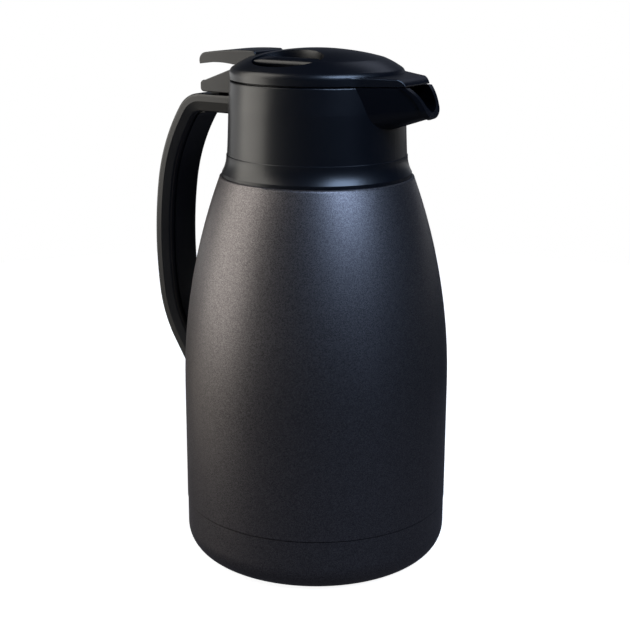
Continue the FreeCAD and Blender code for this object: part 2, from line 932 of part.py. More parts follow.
def tab_plan(low, high):
    """Wedge-shaped plan of the tab, with a hollow blend into the rim on each side."""
    on_tab, turn, on_rim = tab_blend()
    left = [V(tab_front_x, tab_front_half_width, low)]
    left += [V(p.x, p.y, low) for p in (on_tab, turn, on_rim)]
    left.append(V(tab_root_x, on_rim.y, low))
    right = [V(p.x, -p.y, low) for p in left]
    edges = [Part.LineSegment(left[0], right[0]).toShape(), Part.LineSegment(left[4], right[4]).toShape()]
    for side in (left, right):
        edges.append(Part.LineSegment(side[0], side[1]).toShape())
        edges.append(Part.Arc(side[1], side[2], side[3]).toShape())
        edges.append(Part.LineSegment(side[3], side[4]).toShape())
    wire = Part.Wire(Part.__sortEdges__(edges))
    return Part.Face(wire).extrude(V(0, 0, high - low))


def tab():
    """Front tab that covers the spout, with a nearly level top and a round brow."""
    ridge = at(tab_front_x - tab_ridge_setback, seam_height + tab_ridge_rise)
    wire = outline(
        at(tab_root_x, seam_height),
        at(tab_front_x, seam_height),
        at(tab_front_x, seam_height + tab_front_face),
        (at(ridge.x + tab_brow_mid[0], ridge.z - tab_brow_mid[1]), ridge),
        at(tab_root_x, ridge.z + tab_fall),
    )
    blank = slab(wire, body_radius).common(tab_plan(seam_height, lid_top))
    edges = [edge for edge in blank.Edges if on_tab_side(edge)]
    return blank.makeFillet(tab_edge_round, edges)


def on_tab_side(edge):
    """Whether an edge runs along the upper corner of the tab's side, in front of the rim."""
    box = edge.BoundBox
    off_middle = box.YMin > overrun or box.YMax < -overrun
    return off_middle and box.XMin > lid_radius - tab_blend_radius and box.ZMin > seam_height


def oval(half_length, half_width, low, high, y):
    """Upright oval block of a finger well."""
    curve = Part.Ellipse(V(mech_x, y, low), half_length, half_width)
    return Part.Face(Part.Wire([curve.toShape()])).extrude(V(0, 0, high - low))


def well_void():
    """Finger well on the right."""
    return oval(well_half_length, well_half_width, well_floor, lid_top + overrun, -well_offset)


def well_shell():
    """Wall and floor of the well on the right, up to the dome."""
    return oval(well_half_length + well_wall, well_half_width + well_wall, well_floor - well_wall,
                lid_top, -well_offset).common(dome(lid_wall / 2))


def web_slot():
    """Slot in the floor of the right well for the web of the pad."""
    return block(mech_x - web_half_length - web_gap, mech_x + web_half_length + web_gap,
                 -web_outer - web_gap, -web_inner + pad_travel + web_gap,
                 well_floor - well_wall - overrun, well_floor + overrun)


def lever_slot():
    """Room for the pour lever through the top of the cover."""
    half = lever_half_width + lever_side_gap
    front = lever_pivot_x + lever_front[0] + slot_front_gap
    hub_rear = lever_pivot_x - lever_hub_radius - slot_front_gap
    top = block(-lid_radius - overrun, front, -half, half, slot_floor, lid_top + overrun)
    hub = block(hub_rear, front, -half, half, seam_height - overrun, slot_floor + overrun)
    return joined(top, hub)


def lever_cheek():
    """Cheek on the right that carries the end of the lever pin."""
    inner = lever_half_width + lever_side_gap
    return block(lever_pivot_x - cheek_half_length, lever_pivot_x + cheek_half_length,
                 -inner - cheek_thickness, -inner, lever_pivot_z - cheek_drop,
                 lid_top).common(dome(lid_wall / 2))


def boss_places():
    """Where the cover's screw bosses stand, seen from above."""
    places = []
    for x, y in (front_boss, rear_boss):
        places.append((x, -y))
        places.append((x, y))
    return places


def lid_room(floor):
    """Space inside the lid, from a floor up into the wall of the dome."""
    return joined(dome(lid_wall / 2), post(base_radius, floor, rim_height - lid_wall))


def lid_cover():
    """Moulded dome with the tab, the finger wells, the lever slot and its inner bosses."""
    shell = joined(dome(), tab()).cut(dome_cavity())
    floor = base_bottom + base_floor
    inner = both_sides(well_shell()) + both_sides(lever_cheek())
    for x, y in boss_places():
        inner.append(post(boss_radius, floor, lid_top, x, y).common(lid_room(floor)))
    shell = joined(shell, *inner)
    tools = both_sides(well_void()) + both_sides(web_slot()) + [lever_slot()]
    reach = lever_pin_reach + press_gap
    tools.append(cross_pin(lever_pin_radius + press_gap, -reach, reach, lever_pivot_x, lever_pivot_z))
    for x, y in boss_places():
        tools.append(post(screw_radius + screw_bore_gap, floor - overrun, floor + screw_depth, x, y))
    for y in (-block_screw_spread, block_screw_spread):
        tools.append(bar(screw_radius + screw_clearance, -body_radius, -lid_radius + 2 * lid_wall, y,
                         block_screw_height))
    return shell.cut(tools).removeSplitter()


def hinge_block():
    """Wedge behind the lid: the lower jaw of the thumb lever, forked over the hinge lug."""
    tail_round_x = block_tail_x + block_tail_round
    tail_round_z = block_bottom + block_tail_round
    wire = outline(
        at(-lid_radius + lid_wall, seam_height),
        at(block_front_x, seam_height),
        at(block_front_x, block_bottom),
        at(tail_round_x, block_bottom),
        (corner(tail_round_x, tail_round_z, block_tail_round, 225), at(block_tail_x, tail_round_z)),
        at(block_tail_x, block_tail_high),
        (at(block_tail_x + block_brow_mid[0], block_tail_high + block_brow_mid[1]),
         at(block_tail_x + block_brow[0], block_tail_high + block_brow[1])),
        at(-lid_radius + lid_wall, block_top),
    )
    body = slab(wire, grip_half_width)
    edges = [edge for edge in body.Edges if on_block_side(edge)]
    body = body.makeFillet(block_edge_round, edges)
    rim = post(lid_radius + press_gap, block_bottom - overrun, lid_top)
    fork = block(-body_radius, hinge_x + block_fork_reach, -lug_half_width - lug_side_gap,
                 lug_half_width + lug_side_gap, block_bottom - overrun, lid_top)
    eye = cross_pin(hinge_pin_radius + press_gap, -hinge_pin_reach - press_gap, grip_half_width + overrun,
                    hinge_x, hinge_z)
    tools = [rim, fork, eye]
    for y in (-block_screw_spread, block_screw_spread):
        tools.append(bar(screw_radius + screw_bore_gap, -lid_radius - block_screw_length - overrun / 2,
                         -lid_radius + overrun, y, block_screw_height))
    return body.cut(tools)


def on_block_side(edge):
    """Whether an edge of the block's blank lies in one of its two sides, behind the lid."""
    box = edge.BoundBox
    flat = box.YLength < press_gap
    return flat and box.XMin < block_front_x - side_gap


def hinge_screws():
    """Two screws from inside the rim of the cover into the hinge block."""
    screws = []
    inside = lid_radius - lid_wall
    for y in (-block_screw_spread, block_screw_spread):
        seat = -math.sqrt(inside ** 2 - (abs(y) + block_screw_head_radius) ** 2)
        shank = bar(screw_radius, -lid_radius - block_screw_length, seat, y, block_screw_height)
        head = bar(block_screw_head_radius, seat, seat + screw_head_height, y, block_screw_height)
        above = block(-body_radius, 0, -body_radius, body_radius, seam_height + seat_gap, lid_top)
        head = head.common(above)
        screws.append(joined(shank, head))
    return Part.makeCompound(screws)


def hinge_pin():
    """Pin of the lid hinge, pressed into the hinge block."""
    return cross_pin(hinge_pin_radius, -hinge_pin_reach, grip_half_width - side_gap, hinge_x, hinge_z)


def lever_pin():
    """Pin of the pour lever, held in the cheeks of the cover."""
    return cross_pin(lever_pin_radius, -lever_pin_reach, lever_pin_reach, lever_pivot_x, lever_pivot_z)


def lid_base():
    """Inner half of the lid: floor, wall, spring tower and rails for the latch slides."""
    floor = base_bottom + base_floor
    tray = post(base_radius, base_bottom, seam_height)
    tray = tray.cut(post(base_radius - base_wall, floor, seam_height + overrun))
    tower = post(tower_radius, base_bottom, tower_top, mech_x)
    rails = []
    for side in (-1, 1):
        inner = mech_x + side * (slide_half_length + lug_side_gap)
        outer = inner + side * rail_thickness
        for y in (-rail_end, rail_end - rail_length):
            rails.append(block(min(inner, outer), max(inner, outer), y, y + rail_length, base_bottom,
                               floor + rail_height))
    body = joined(tray, tower, *rails)
    groove = post(base_radius + overrun, seal_height, seal_height + seal_width + 2 * seal_fit)
    groove = groove.cut(post(base_radius - seal_depth - seal_fit, base_bottom, seam_height))
    tools = [
        groove,
        post(tower_bore, base_bottom - overrun, tower_top - tower_roof, mech_x),
        post(stem_radius + stem_fit, base_bottom, tower_top + overrun, mech_x),
    ]
    tools += both_sides(tongue_window())
    for x, y in boss_places():
        tools.append(post(screw_radius + screw_clearance, base_bottom - overrun, floor + overrun, x, y))
    for x, y in post_places():
        tools.append(post(screw_radius + screw_clearance, base_bottom - overrun, floor + overrun, x, y))
    return body.cut(tools).removeSplitter()


def tongue_window():
    """Window in the wall of the lid base for the right latch tongue."""
    half = tongue_half_length + pocket_gap
    return block(mech_x - half, mech_x + half, -base_radius - overrun, -base_radius + 2 * base_wall,
                 tongue_bottom - tongue_gap, tongue_top + tongue_gap)


def lid_seal():
    """Ring round the lid base that wipes the wall of the chamber."""
    low = seal_height + seal_fit
    ring = post(base_radius + seal_proud, low, low + seal_width)
    return ring.cut(post(base_radius - seal_depth, low - overrun, low + seal_width + overrun))


def lid_screws():
    """Four screws that hold the base to the cover, from below."""
    floor = base_bottom + base_floor
    screws = []
    for x, y in boss_places():
        shank = post(screw_radius, base_bottom, floor + screw_depth - screw_clearance, x, y)
        head = post(screw_head_radius, base_bottom - screw_head_height, base_bottom, x, y)
        screws.append(joined(shank, head))
    return Part.makeCompound(screws)


def post_places():
    """Where the stopper's posts stand, seen from above."""
    return [(mech_x + sx * post_spread, sy * post_spread) for sx in (-1, 1) for sy in (-1, 1)]


def stopper_body():
    """Plug below the lid, with the valve seat and the posts that carry it."""
    floor = stopper_bottom + stopper_wall
    groove_low = stopper_bottom + stopper_wall - seat_gap
    groove_high = stopper_rim_top - stopper_flange
    inner = stopper_radius - stopper_wall
    cup = outline(
        at(valve_bore, stopper_bottom),
        at(stopper_foot_radius - stopper_wall / 3, stopper_bottom),
        at(stopper_foot_radius, groove_low),
        at(stopper_radius, groove_low),
        at(stopper_radius, groove_high),
        at(stopper_flange_radius, groove_high),
        at(stopper_flange_radius, stopper_rim_top),
        at(inner, stopper_rim_top),
        at(inner, floor),
        at(valve_bore + valve_lip, floor),
        at(valve_bore + valve_lip, valve_seat_height),
        at(valve_bore, valve_seat_height),
    )
    body = turned(cup)
    valve_seat = post(valve_bore + valve_lip, stopper_bottom, valve_seat_height, mech_x)
    plug = post(valve_bore + 2 * valve_lip, stopper_bottom, floor, 0)
    body = joined(body, plug.cut(post(valve_bore, 0, lid_top, mech_x)))
    tube = valve_seat.cut(post(valve_bore, 0, lid_top, mech_x))
    body = body.cut(post(valve_bore, 0, lid_top, mech_x))
    posts = [post(post_radius, stopper_bottom, base_bottom, x, y) for x, y in post_places()]
    body = joined(body, tube, *posts)
    bores = [post(screw_radius + screw_bore_gap, base_bottom - screw_depth, base_bottom + overrun, x, y)
             for x, y in post_places()]
    return body.cut(bores)


def stopper_gasket():
    """Ring round the plug that seals on the cone of the collar."""
    low = stopper_bottom + stopper_wall
    high = stopper_rim_top - stopper_flange - seat_gap
    foot = throat_radius + (low - flange_low()) - plug_gasket_clearance
    top = throat_radius + flange_thickness - plug_gasket_clearance + seat_gap
    wire = outline(
        at(stopper_radius + seat_gap, low),
        at(foot, low),
        at(top, chamber_floor() + seat_gap - (throat_radius + (chamber_floor() - flange_low()) - top)
           + plug_gasket_clearance),
        at(top, high),
        at(stopper_radius + seat_gap, high),
    )
    return turned(wire)


def stopper_screws():
    """Four screws from the lid base into the posts of the stopper."""
    floor = base_bottom + base_floor
    screws = []
    for x, y in post_places():
        shank = post(screw_radius, base_bottom - screw_depth + screw_clearance, floor, x, y)
        head = post(screw_head_radius, floor, floor + screw_head_height, x, y)
        screws.append(joined(shank, head))
    return Part.makeCompound(screws)


def from_pivot(pair):
    """A point of the lever's outline, from its place against the pivot."""
    return at(lever_pivot_x + pair[0], lever_pivot_z + pair[1])


def leaving(start, direction, end):
    """Middle of the arc that leaves one point in a direction and ends at another."""
    chord = end - start
    normal = (chord - direction * chord.dot(direction)).normalize()
    radius = chord.Length ** 2 / (2 * chord.dot(normal))
    centre = start + normal * radius
    outward = (start + chord * 0.5 - centre).normalize()
    return centre + outward * radius


def lever_paddle():
    """Thumb paddle of the lever, drawn from the side, with soft edges."""
    hub_rear = lever_pivot_x - lever_hub_radius
    tail = from_pivot(lever_tail)
    back = from_pivot(lever_tail_top)
    front = from_pivot(lever_top_front)
    nose = from_pivot(lever_front)
    crown = Part.Arc(back, from_pivot(lever_top_mid), front)
    rearward = crown.tangent(crown.FirstParameter)[0] * -1
    forward = crown.tangent(crown.LastParameter)[0]
    wire = outline(
        back,
        (from_pivot(lever_top_mid), front),
        (leaving(front, forward, nose), nose),
        at(nose.x, lever_pivot_z),
        at(hub_rear, lever_pivot_z),
        at(hub_rear, lever_pivot_z + lever_heel[1]),
        from_pivot(lever_heel),
        (from_pivot(lever_arch), tail),
        (leaving(back, rearward, tail), back),
    )
    paddle = slab(wire, lever_half_width)
    for side in (1, -1):
        crown_edges = [edge for edge in paddle.Edges if on_lever_crown(edge, side)]
        paddle = paddle.makeFillet(lever_edge_round, crown_edges)
    return paddle


def on_lever_crown(edge, side):
    """Whether an edge of the paddle is the long upper one of the given side."""
    box = edge.BoundBox
    flat = box.YLength < press_gap
    upper = box.ZMax > lever_pivot_z + lever_top_front[1] - press_gap
    return flat and upper and box.XLength > lever_half_width and side * box.YMin > 0


def pour_lever():
    """Thumb lever with its hub, the arm under the cover and the fork round the valve stem."""
    hub = cross_pin(lever_hub_radius, -lever_half_width, lever_half_width, lever_pivot_x, lever_pivot_z)
    arm_low = lever_pivot_z - lever_hub_radius
    arm_front = mech_x - fork_length
    arm = block(lever_pivot_x, arm_front + overrun, -lever_arm_half_width, lever_arm_half_width, arm_low,
                arm_low + lever_arm_depth)
    nose_z = lever_pivot_z - fork_nose_radius
    prong = block(arm_front, mech_x, -fork_half_gap - fork_prong, -fork_half_gap, nose_z - fork_nose_radius,
                  nose_z + fork_nose_radius / 2)
    nose = cross_pin(fork_nose_radius, -fork_half_gap - fork_prong, -fork_half_gap, mech_x, nose_z)
    body = joined(lever_paddle(), hub, arm, *(both_sides(prong) + both_sides(nose)))
    gap = block(mech_x - fork_length + overrun, mech_x + overrun, -fork_half_gap, fork_half_gap,
                seam_height, lid_top)
    eye = cross_pin(lever_pin_radius + pin_fit, -lever_half_width - overrun, lever_half_width + overrun,
                    lever_pivot_x, lever_pivot_z)
    return body.cut([gap, eye]).removeSplitter()


def valve_disc():
    """Soft disc that closes the bore of the stopper."""
    low = valve_seat_height + valve_seat_gap
    high = low + valve_disc_thickness
    disc = post(valve_disc_radius, low, high, mech_x)
    return disc.cut(post(stem_radius + press_gap, low - overrun, high + overrun, mech_x))


def flange_level():
    """Underside of the stem's flange, on the valve disc."""
    return valve_seat_height + valve_seat_gap + valve_disc_thickness


def head_level():
    """Underside of the stem cap, just above the fork."""
    return lever_pivot_z + fork_gap


def valve_stem():
    """Stem with the flange that presses the disc and the foot that holds it."""
    disc_low = valve_seat_height + valve_seat_gap
    foot = post(stem_foot_radius, disc_low - stem_foot_thickness, disc_low, mech_x)
    shaft = post(stem_radius, disc_low - stem_foot_thickness, head_level(), mech_x)
    flange = post(stem_flange_radius, flange_level(), flange_level() + stem_flange_thickness, mech_x)
    return joined(foot, shaft, flange)


def stem_cap():
    """Cap on the stem that the fork lifts."""
    low = head_level()
    return post(stem_head_radius, low, low + stem_head_thickness, mech_x)


def coil(radius, wire_radius, turns, length):
    """An upright coil spring from the origin up."""
    pitch = (length - 2 * wire_radius) / turns
    helix = Part.makeHelix(pitch, pitch * turns, radius)
    section = Part.Wire([Part.Circle(V(radius, 0, 0), V(0, 1, 0), wire_radius).toShape()])
    spring = Part.Wire(helix).makePipeShell([section], True, True)
    spring.translate(V(0, 0, wire_radius))
    return spring


def valve_spring():
    """Coil that presses the valve shut."""
    low = flange_level() + stem_flange_thickness + spring_gap
    high = tower_top - tower_roof - spring_gap
    spring = coil(valve_spring_radius, valve_spring_wire, valve_spring_turns, high - low)
    spring.translate(V(mech_x, 0, low))
    return spring


def pad_bar():
    """Finger bar of the right pad, arched and undercut for the finger."""
    points = []
    for y, z in (pad_top_inner, pad_top_mid, pad_top_outer, pad_bulge, pad_undercut):
        points.append(V(mech_x - well_half_length, y - pad_line, pad_bottom + z))
    x = mech_x - well_half_length
    inner_foot = V(x, pad_inner_foot - pad_line, pad_bottom)
    outer_foot = V(x, pad_outer_foot - pad_line, pad_bottom)
    edges = [
        Part.LineSegment(inner_foot, points[0]).toShape(),
        Part.Arc(points[0], points[1], points[2]).toShape(),
        Part.Arc(points[2], points[3], points[4]).toShape(),
        Part.LineSegment(points[4], outer_foot).toShape(),
        Part.LineSegment(outer_foot, inner_foot).toShape(),
    ]
    solid = Part.Face(Part.Wire(edges)).extrude(V(2 * well_half_length, 0, 0))
    length = well_half_length - pad_clearance
    width = well_half_width - pad_clearance
    here = oval(length, width, well_floor, lid_top, -well_offset)
    pressed = oval(length, width, well_floor, lid_top, -well_offset - pad_travel)
    return solid.common(here).common(pressed).common(dome(pad_sink))


def release_pad():
    """Release pad on the right: finger bar, web, slide and latch tongue."""
    web = block(mech_x - web_half_length, mech_x + web_half_length, -web_outer, -web_inner, slide_bottom,
                pad_bottom + overrun)
    slide = block(mech_x - slide_half_length, mech_x + slide_half_length, -rail_end, -slide_inner,
                  slide_bottom, slide_top)
    inside = base_radius - base_wall - pocket_gap
    tongue = block(mech_x - tongue_half_length, mech_x + tongue_half_length, -tongue_reach,
                   -rail_end + overrun, tongue_bottom, tongue_top)
    neck = block(mech_x - tongue_half_length, mech_x + tongue_half_length, -inside + pocket_gap,
                 -rail_end + overrun, slide_bottom, slide_top)
    return joined(pad_bar(), web, slide, neck, tongue)


def release_spring():
    """Coil that pushes the right pad outwards."""
    inner = math.sqrt(tower_radius ** 2 - release_spring_radius ** 2) + spring_gap * 2
    length = slide_inner - inner - 2 * spring_gap
    spring = coil(release_spring_radius, release_spring_wire, release_spring_turns, length)
    spring.rotate(V(0, 0, 0), V(1, 0, 0), half_turn / 2)
    spring.translate(V(mech_x, -inner, middle(slide_bottom, slide_top)))
    return spring


def save(name, shape):
    """Write one piece to its file and print what it holds."""
    if shape.ShapeType != "Solid" and len(shape.Solids) == 1:
        shape = shape.Solids[0]
    shape.exportStep("parts/" + name + ".step")
    state = "valid" if shape.isValid() else "INVALID"
    print(name, len(shape.Solids), "solids", round(shape.Volume), "mm3", state)


def main():
    """Build every piece."""
    os.makedirs("parts", exist_ok=True)
    pieces = {
        "outer_shell": outer_shell(),
        "inner_bottle": inner_bottle(),
        "vacuum_base_plate": vacuum_base_plate(),
        "getter": getter(),
        "base_cap": base_cap(),
        "base_pad": base_pad(),
        "neck_collar": neck_collar(),
        "mouth_gasket": mouth_gasket(),
        "handle": handle(),
        "handle_inner_cover": handle_inner_cover(),
        "handle_bracket": handle_bracket(),
        "handle_lower_screw": handle_lower_screw(),
        "handle_upper_screws": handle_upper_screws(),
        "lid_cover": lid_cover(),
        "lid_base": lid_base(),
        "lid_seal": lid_seal(),
        "hinge_block": hinge_block(),
        "hinge_screws": hinge_screws(),
        "hinge_pin": hinge_pin(),
        "lever_pin": lever_pin(),
        "lid_screws": lid_screws(),
        "stopper_body": stopper_body(),
        "stopper_gasket": stopper_gasket(),
        "stopper_screws": stopper_screws(),
        "pour_lever": pour_lever(),
        "valve_stem": valve_stem(),
        "stem_cap": stem_cap(),
        "valve_disc": valve_disc(),
        "valve_spring": valve_spring(),
        "release_pad_right": release_pad(),
        "release_pad_left": mirrored(release_pad()),
        "release_spring_right": release_spring(),
        "release_spring_left": mirrored(release_spring()),
    }
    for name, shape in pieces.items():
        save(name, shape)


main()
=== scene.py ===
"""Looks of the thermal jug: a finish for each piece, the small fittings, the studio and the camera."""

import logging
import math
from collections.abc import Callable, Iterator
from contextlib import contextmanager
from dataclasses import dataclass, field
from enum import Enum

import bmesh
import bpy
from bpy.types import Material, Node, NodeSocket, NodeTree, Object
from mathutils import Matrix, Vector


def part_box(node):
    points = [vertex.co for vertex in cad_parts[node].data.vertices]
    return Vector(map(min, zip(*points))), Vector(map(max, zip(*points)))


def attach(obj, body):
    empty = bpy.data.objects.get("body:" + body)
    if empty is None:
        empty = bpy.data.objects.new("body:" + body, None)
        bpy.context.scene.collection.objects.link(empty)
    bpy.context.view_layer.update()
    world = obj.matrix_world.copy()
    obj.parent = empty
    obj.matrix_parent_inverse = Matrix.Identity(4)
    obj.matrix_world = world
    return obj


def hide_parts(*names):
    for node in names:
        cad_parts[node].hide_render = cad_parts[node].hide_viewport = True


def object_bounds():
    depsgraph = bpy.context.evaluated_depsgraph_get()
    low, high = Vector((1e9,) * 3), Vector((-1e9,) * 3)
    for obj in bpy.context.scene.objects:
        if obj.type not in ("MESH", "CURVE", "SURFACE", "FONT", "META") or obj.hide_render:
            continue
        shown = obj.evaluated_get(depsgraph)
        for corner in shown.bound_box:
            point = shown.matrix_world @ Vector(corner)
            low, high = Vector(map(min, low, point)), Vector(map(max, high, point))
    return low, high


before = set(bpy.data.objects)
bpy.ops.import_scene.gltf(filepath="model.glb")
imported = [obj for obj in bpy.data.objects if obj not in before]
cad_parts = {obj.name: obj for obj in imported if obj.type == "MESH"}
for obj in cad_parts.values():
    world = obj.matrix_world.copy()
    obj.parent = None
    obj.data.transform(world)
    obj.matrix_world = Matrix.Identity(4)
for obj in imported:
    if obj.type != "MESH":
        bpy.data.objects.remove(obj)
cad_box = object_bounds()

MM = 0.001
# Points nearer to each other than this are one point of a seam.
SEAM = 0.001 * MM
# A face looks up or down when at least this much of its normal does.
FACING = 0.9
# Nearly all values of a noise pattern lie between these two.
NOISE_RANGE = (0.3, 0.7)
UNIT_RANGE = (0.0, 1.0)
# Degrees from the side view of the jug towards its spout at which the camera stands.
AZIMUTH = 33.0
log = logging.getLogger("jug")


def linear(sheet_colour: str) -> tuple[float, float, float, float]:
    """Turn a written sRGB colour into the linear values that shaders take.

    Args:
        sheet_colour: six hex digits after a hash mark.

    Returns:
        Red, green, blue and a full alpha, all linear.
    """
    knee, slope, offset, power = 0.04045, 12.92, 0.055, 2.4
    channels = []
    for start in (1, 3, 5):
        value = int(sheet_colour[start:start + 2], 16) / 255
        if value <= knee:
            channels.append(value / slope)
        else:
            channels.append(((value + offset) / (1 + offset)) ** power)
    return channels[0], channels[1], channels[2], 1.0


def per_metre(size_mm: float) -> float:
    """Scale of a pattern whose features are this many millimetres apart."""
    return 1 / (size_mm * MM)


def add_node(tree: NodeTree, kind: str, inputs: dict | None = None, links: dict | None = None,
             **settings: object) -> Node:
    """Add a shader node with its values, links and settings.

    Args:
        tree: node tree that receives it.
        kind: Blender's name of the node type.
        inputs: values by the name of the socket.
        links: sockets to link from, by the name of the input.
        **settings: properties of the node itself.

    Returns:
        The new node.
    """
    node = tree.nodes.new(kind)
    for name, value in settings.items():
        setattr(node, name, value)
    for name, value in (inputs or {}).items():
        node.inputs[name].default_value = value
    for name, socket in (links or {}).items():
        tree.links.new(socket, node.inputs[name])
    return node


def empty_material(name: str) -> tuple[Material, NodeTree]:
    """Make a material with no nodes yet.

    Args:
        name: what the finish is called.

    Returns:
        The material and its node tree.
    """
    material = bpy.data.materials.new(name)
    material.use_nodes = True
    material.node_tree.nodes.clear()
    return material, material.node_tree


def close_material(tree: NodeTree, shader: Node) -> None:
    """Send a shader to the output of its tree."""
    add_node(tree, "ShaderNodeOutputMaterial", links={"Surface": shader.outputs[0]})


def own_place(tree: NodeTree) -> NodeSocket:
    """Socket with the place of a point in the piece's own coordinates."""
    return add_node(tree, "ShaderNodeTexCoord").outputs["Object"]


def noise(tree: NodeTree, place: NodeSocket, size_mm: float, detail: float) -> NodeSocket:
    """Add a noise pattern.

    Args:
        tree: node tree that receives it.
        place: socket with the place that it is drawn at.
        size_mm: millimetres between its features.
        detail: how many finer layers lie over it.

    Returns:
        Socket with its value.
    """
    return add_node(tree, "ShaderNodeTexNoise", {"Scale": per_metre(size_mm), "Detail": detail},
                    {"Vector": place}).outputs[0]


def mixed_colour(tree: NodeTree, share: NodeSocket, first: str, second: str) -> NodeSocket:
    """Add a mix of two colours.

    Args:
        tree: node tree that receives it.
        share: socket with the share of the second colour.
        first: sRGB colour where the share is 0.
        second: sRGB colour where it is 1.

    Returns:
        Socket with the mixed colour.
    """
    # The colours go into sockets 6 and 7 of a mix node and come out of its socket 2.
    return add_node(tree, "ShaderNodeMix", {6: linear(first), 7: linear(second)}, {0: share},
                    data_type="RGBA").outputs[2]


def stretched(tree: NodeTree, value: NodeSocket, start: tuple[float, float],
              result: tuple[float, float], **settings: object) -> NodeSocket:
    """Add a node that turns one range of values into another.

    Args:
        tree: node tree that receives it.
        value: socket with the value.
        start: the two ends of the range that comes in.
        result: what comes out at each of them.
        **settings: properties of the node itself.

    Returns:
        Socket with the new value.
    """
    ends = {"From Min": start[0], "From Max": start[1], "To Min": result[0], "To Max": result[1]}
    return add_node(tree, "ShaderNodeMapRange", ends, {"Value": value}, **settings).outputs[0]


def relief(tree: NodeTree, height: NodeSocket, depth_mm: float, strength: float) -> NodeSocket:
    """Add a fine relief.

    Args:
        tree: node tree that receives it.
        height: socket with the height, from 0 to 1.
        depth_mm: millimetres between heights 0 and 1.
        strength: share of the relief that shows.

    Returns:
        Socket with the normal that it tilts.
    """
    return add_node(tree, "ShaderNodeBump", {"Strength": strength, "Distance": depth_mm * MM},
                    {"Height": height}).outputs[0]


@dataclass(frozen=True)
class MetallicPaint:
    """Sprayed and baked metallic paint: flakes under a matt binder, with a faint orange peel."""

    name: str
    binder: str
    flake: str
    roughness: float
    flake_mm: float
    peel_mm: float
    peel_depth_mm: float
    peel_strength: float = 0.35
    gloss_spread: float = 0.05
    metallic: float = 0.95

    def build(self) -> Material:
        """Make the paint's material.

        Returns:
            The material.
        """
        material, tree = empty_material(self.name)
        place = own_place(tree)
        # Real flakes are some 0.03 mm wide; they are drawn coarser so that their sparkle shows.
        flakes = add_node(tree, "ShaderNodeTexVoronoi", {"Scale": per_metre(self.flake_mm)},
                          {"Vector": place})
        tone = add_node(tree, "ShaderNodeSeparateColor",
                        links={"Color": flakes.outputs["Color"]}).outputs
        peel = noise(tree, place, self.peel_mm, detail=2.0)
        gloss = (self.roughness - self.gloss_spread, self.roughness + self.gloss_spread)
        paint = add_node(tree, "ShaderNodeBsdfPrincipled", {"Metallic": self.metallic}, {
            "Base Color": mixed_colour(tree, tone["Red"], self.binder, self.flake),
            "Roughness": stretched(tree, tone["Green"], UNIT_RANGE, gloss),
            "Normal": relief(tree, peel, self.peel_depth_mm, self.peel_strength),
        })
        close_material(tree, paint)
        return material


@dataclass(frozen=True)
class Moulding:
    """Injection moulded plastic: one through colour, with the fine grain of an eroded mould."""

    name: str
    colour: str
    worn: str
    roughness: float
    grain_mm: float
    grain_depth_mm: float
    grain_strength: float = 0.3
    gloss_spread: float = 0.03
    flow_mm: float = 35.0
    ior: float = 1.49

    def build(self) -> Material:
        """Make the plastic's material.

        Returns:
            The material.
        """
        material, tree = empty_material(self.name)
        place = own_place(tree)
        # Slow waves in the gloss, as plastic that has flowed into a mould and shrunk shows them.
        flow = noise(tree, place, self.flow_mm, detail=3.0)
        grain = noise(tree, place, self.grain_mm, detail=2.0)
        gloss = (self.roughness - self.gloss_spread, self.roughness + self.gloss_spread)
        plastic = add_node(tree, "ShaderNodeBsdfPrincipled", {"IOR": self.ior}, {
            "Base Color": mixed_colour(tree, grain, self.colour, self.worn),
            "Roughness": stretched(tree, flow, NOISE_RANGE, gloss),
            "Normal": relief(tree, grain, self.grain_depth_mm, self.grain_strength),
        })
        close_material(tree, plastic)
        return material


class Grain(Enum):
    """How close a metal's pattern is along each axis: its lines run where it is drawn out."""

    UPRIGHT = (1.0, 1.0, 0.04)
    ACROSS = (1.0, 0.04, 1.0)


@dataclass(frozen=True)
class BareMetal:
    """Bare metal with the fine lines that drawing, rolling or grinding leaves."""

    name: str
    colour: str
    shade: str
    roughness: float
    line_mm: float
    grain: Grain
    line_depth_mm: float = 0.01
    line_strength: float = 0.15
    smoother_by: float = 0.05
    rougher_by: float = 0.06

    def build(self) -> Material:
        """Make the metal's material.

        Returns:
            The material.
        """
        material, tree = empty_material(self.name)
        along = add_node(tree, "ShaderNodeMapping", {"Scale": self.grain.value},
                         {"Vector": own_place(tree)})
        lines = noise(tree, along.outputs[0], self.line_mm, detail=4.0)
        gloss = (self.roughness - self.smoother_by, self.roughness + self.rougher_by)
        steel = add_node(tree, "ShaderNodeBsdfPrincipled", {"Metallic": 1.0}, {
            "Base Color": mixed_colour(tree, lines, self.shade, self.colour),
            "Roughness": stretched(tree, lines, NOISE_RANGE, gloss),
            "Normal": relief(tree, lines, self.line_depth_mm, self.line_strength),
        })
        close_material(tree, steel)
        return material


@dataclass(frozen=True)
class Silicone:
    """Food silicone or foot rubber: soft, dusty and nearly without gloss."""

    name: str
    colour: str
    bloom: str
    roughness: float
    speck_mm: float
    speck_depth_mm: float = 0.02
    speck_strength: float = 0.3
    ior: float = 1.41

    def build(self) -> Material:
        """Make the rubber's material.

        Returns:
            The material.
        """
        material, tree = empty_material(self.name)
        specks = noise(tree, own_place(tree), self.speck_mm, detail=4.0)
        softness = {"Roughness": self.roughness, "IOR": self.ior}
        rubber = add_node(tree, "ShaderNodeBsdfPrincipled", softness, {
            "Base Color": mixed_colour(tree, specks, self.colour, self.bloom),
            "Normal": relief(tree, specks, self.speck_depth_mm, self.speck_strength),
        })
        close_material(tree, rubber)
        return material


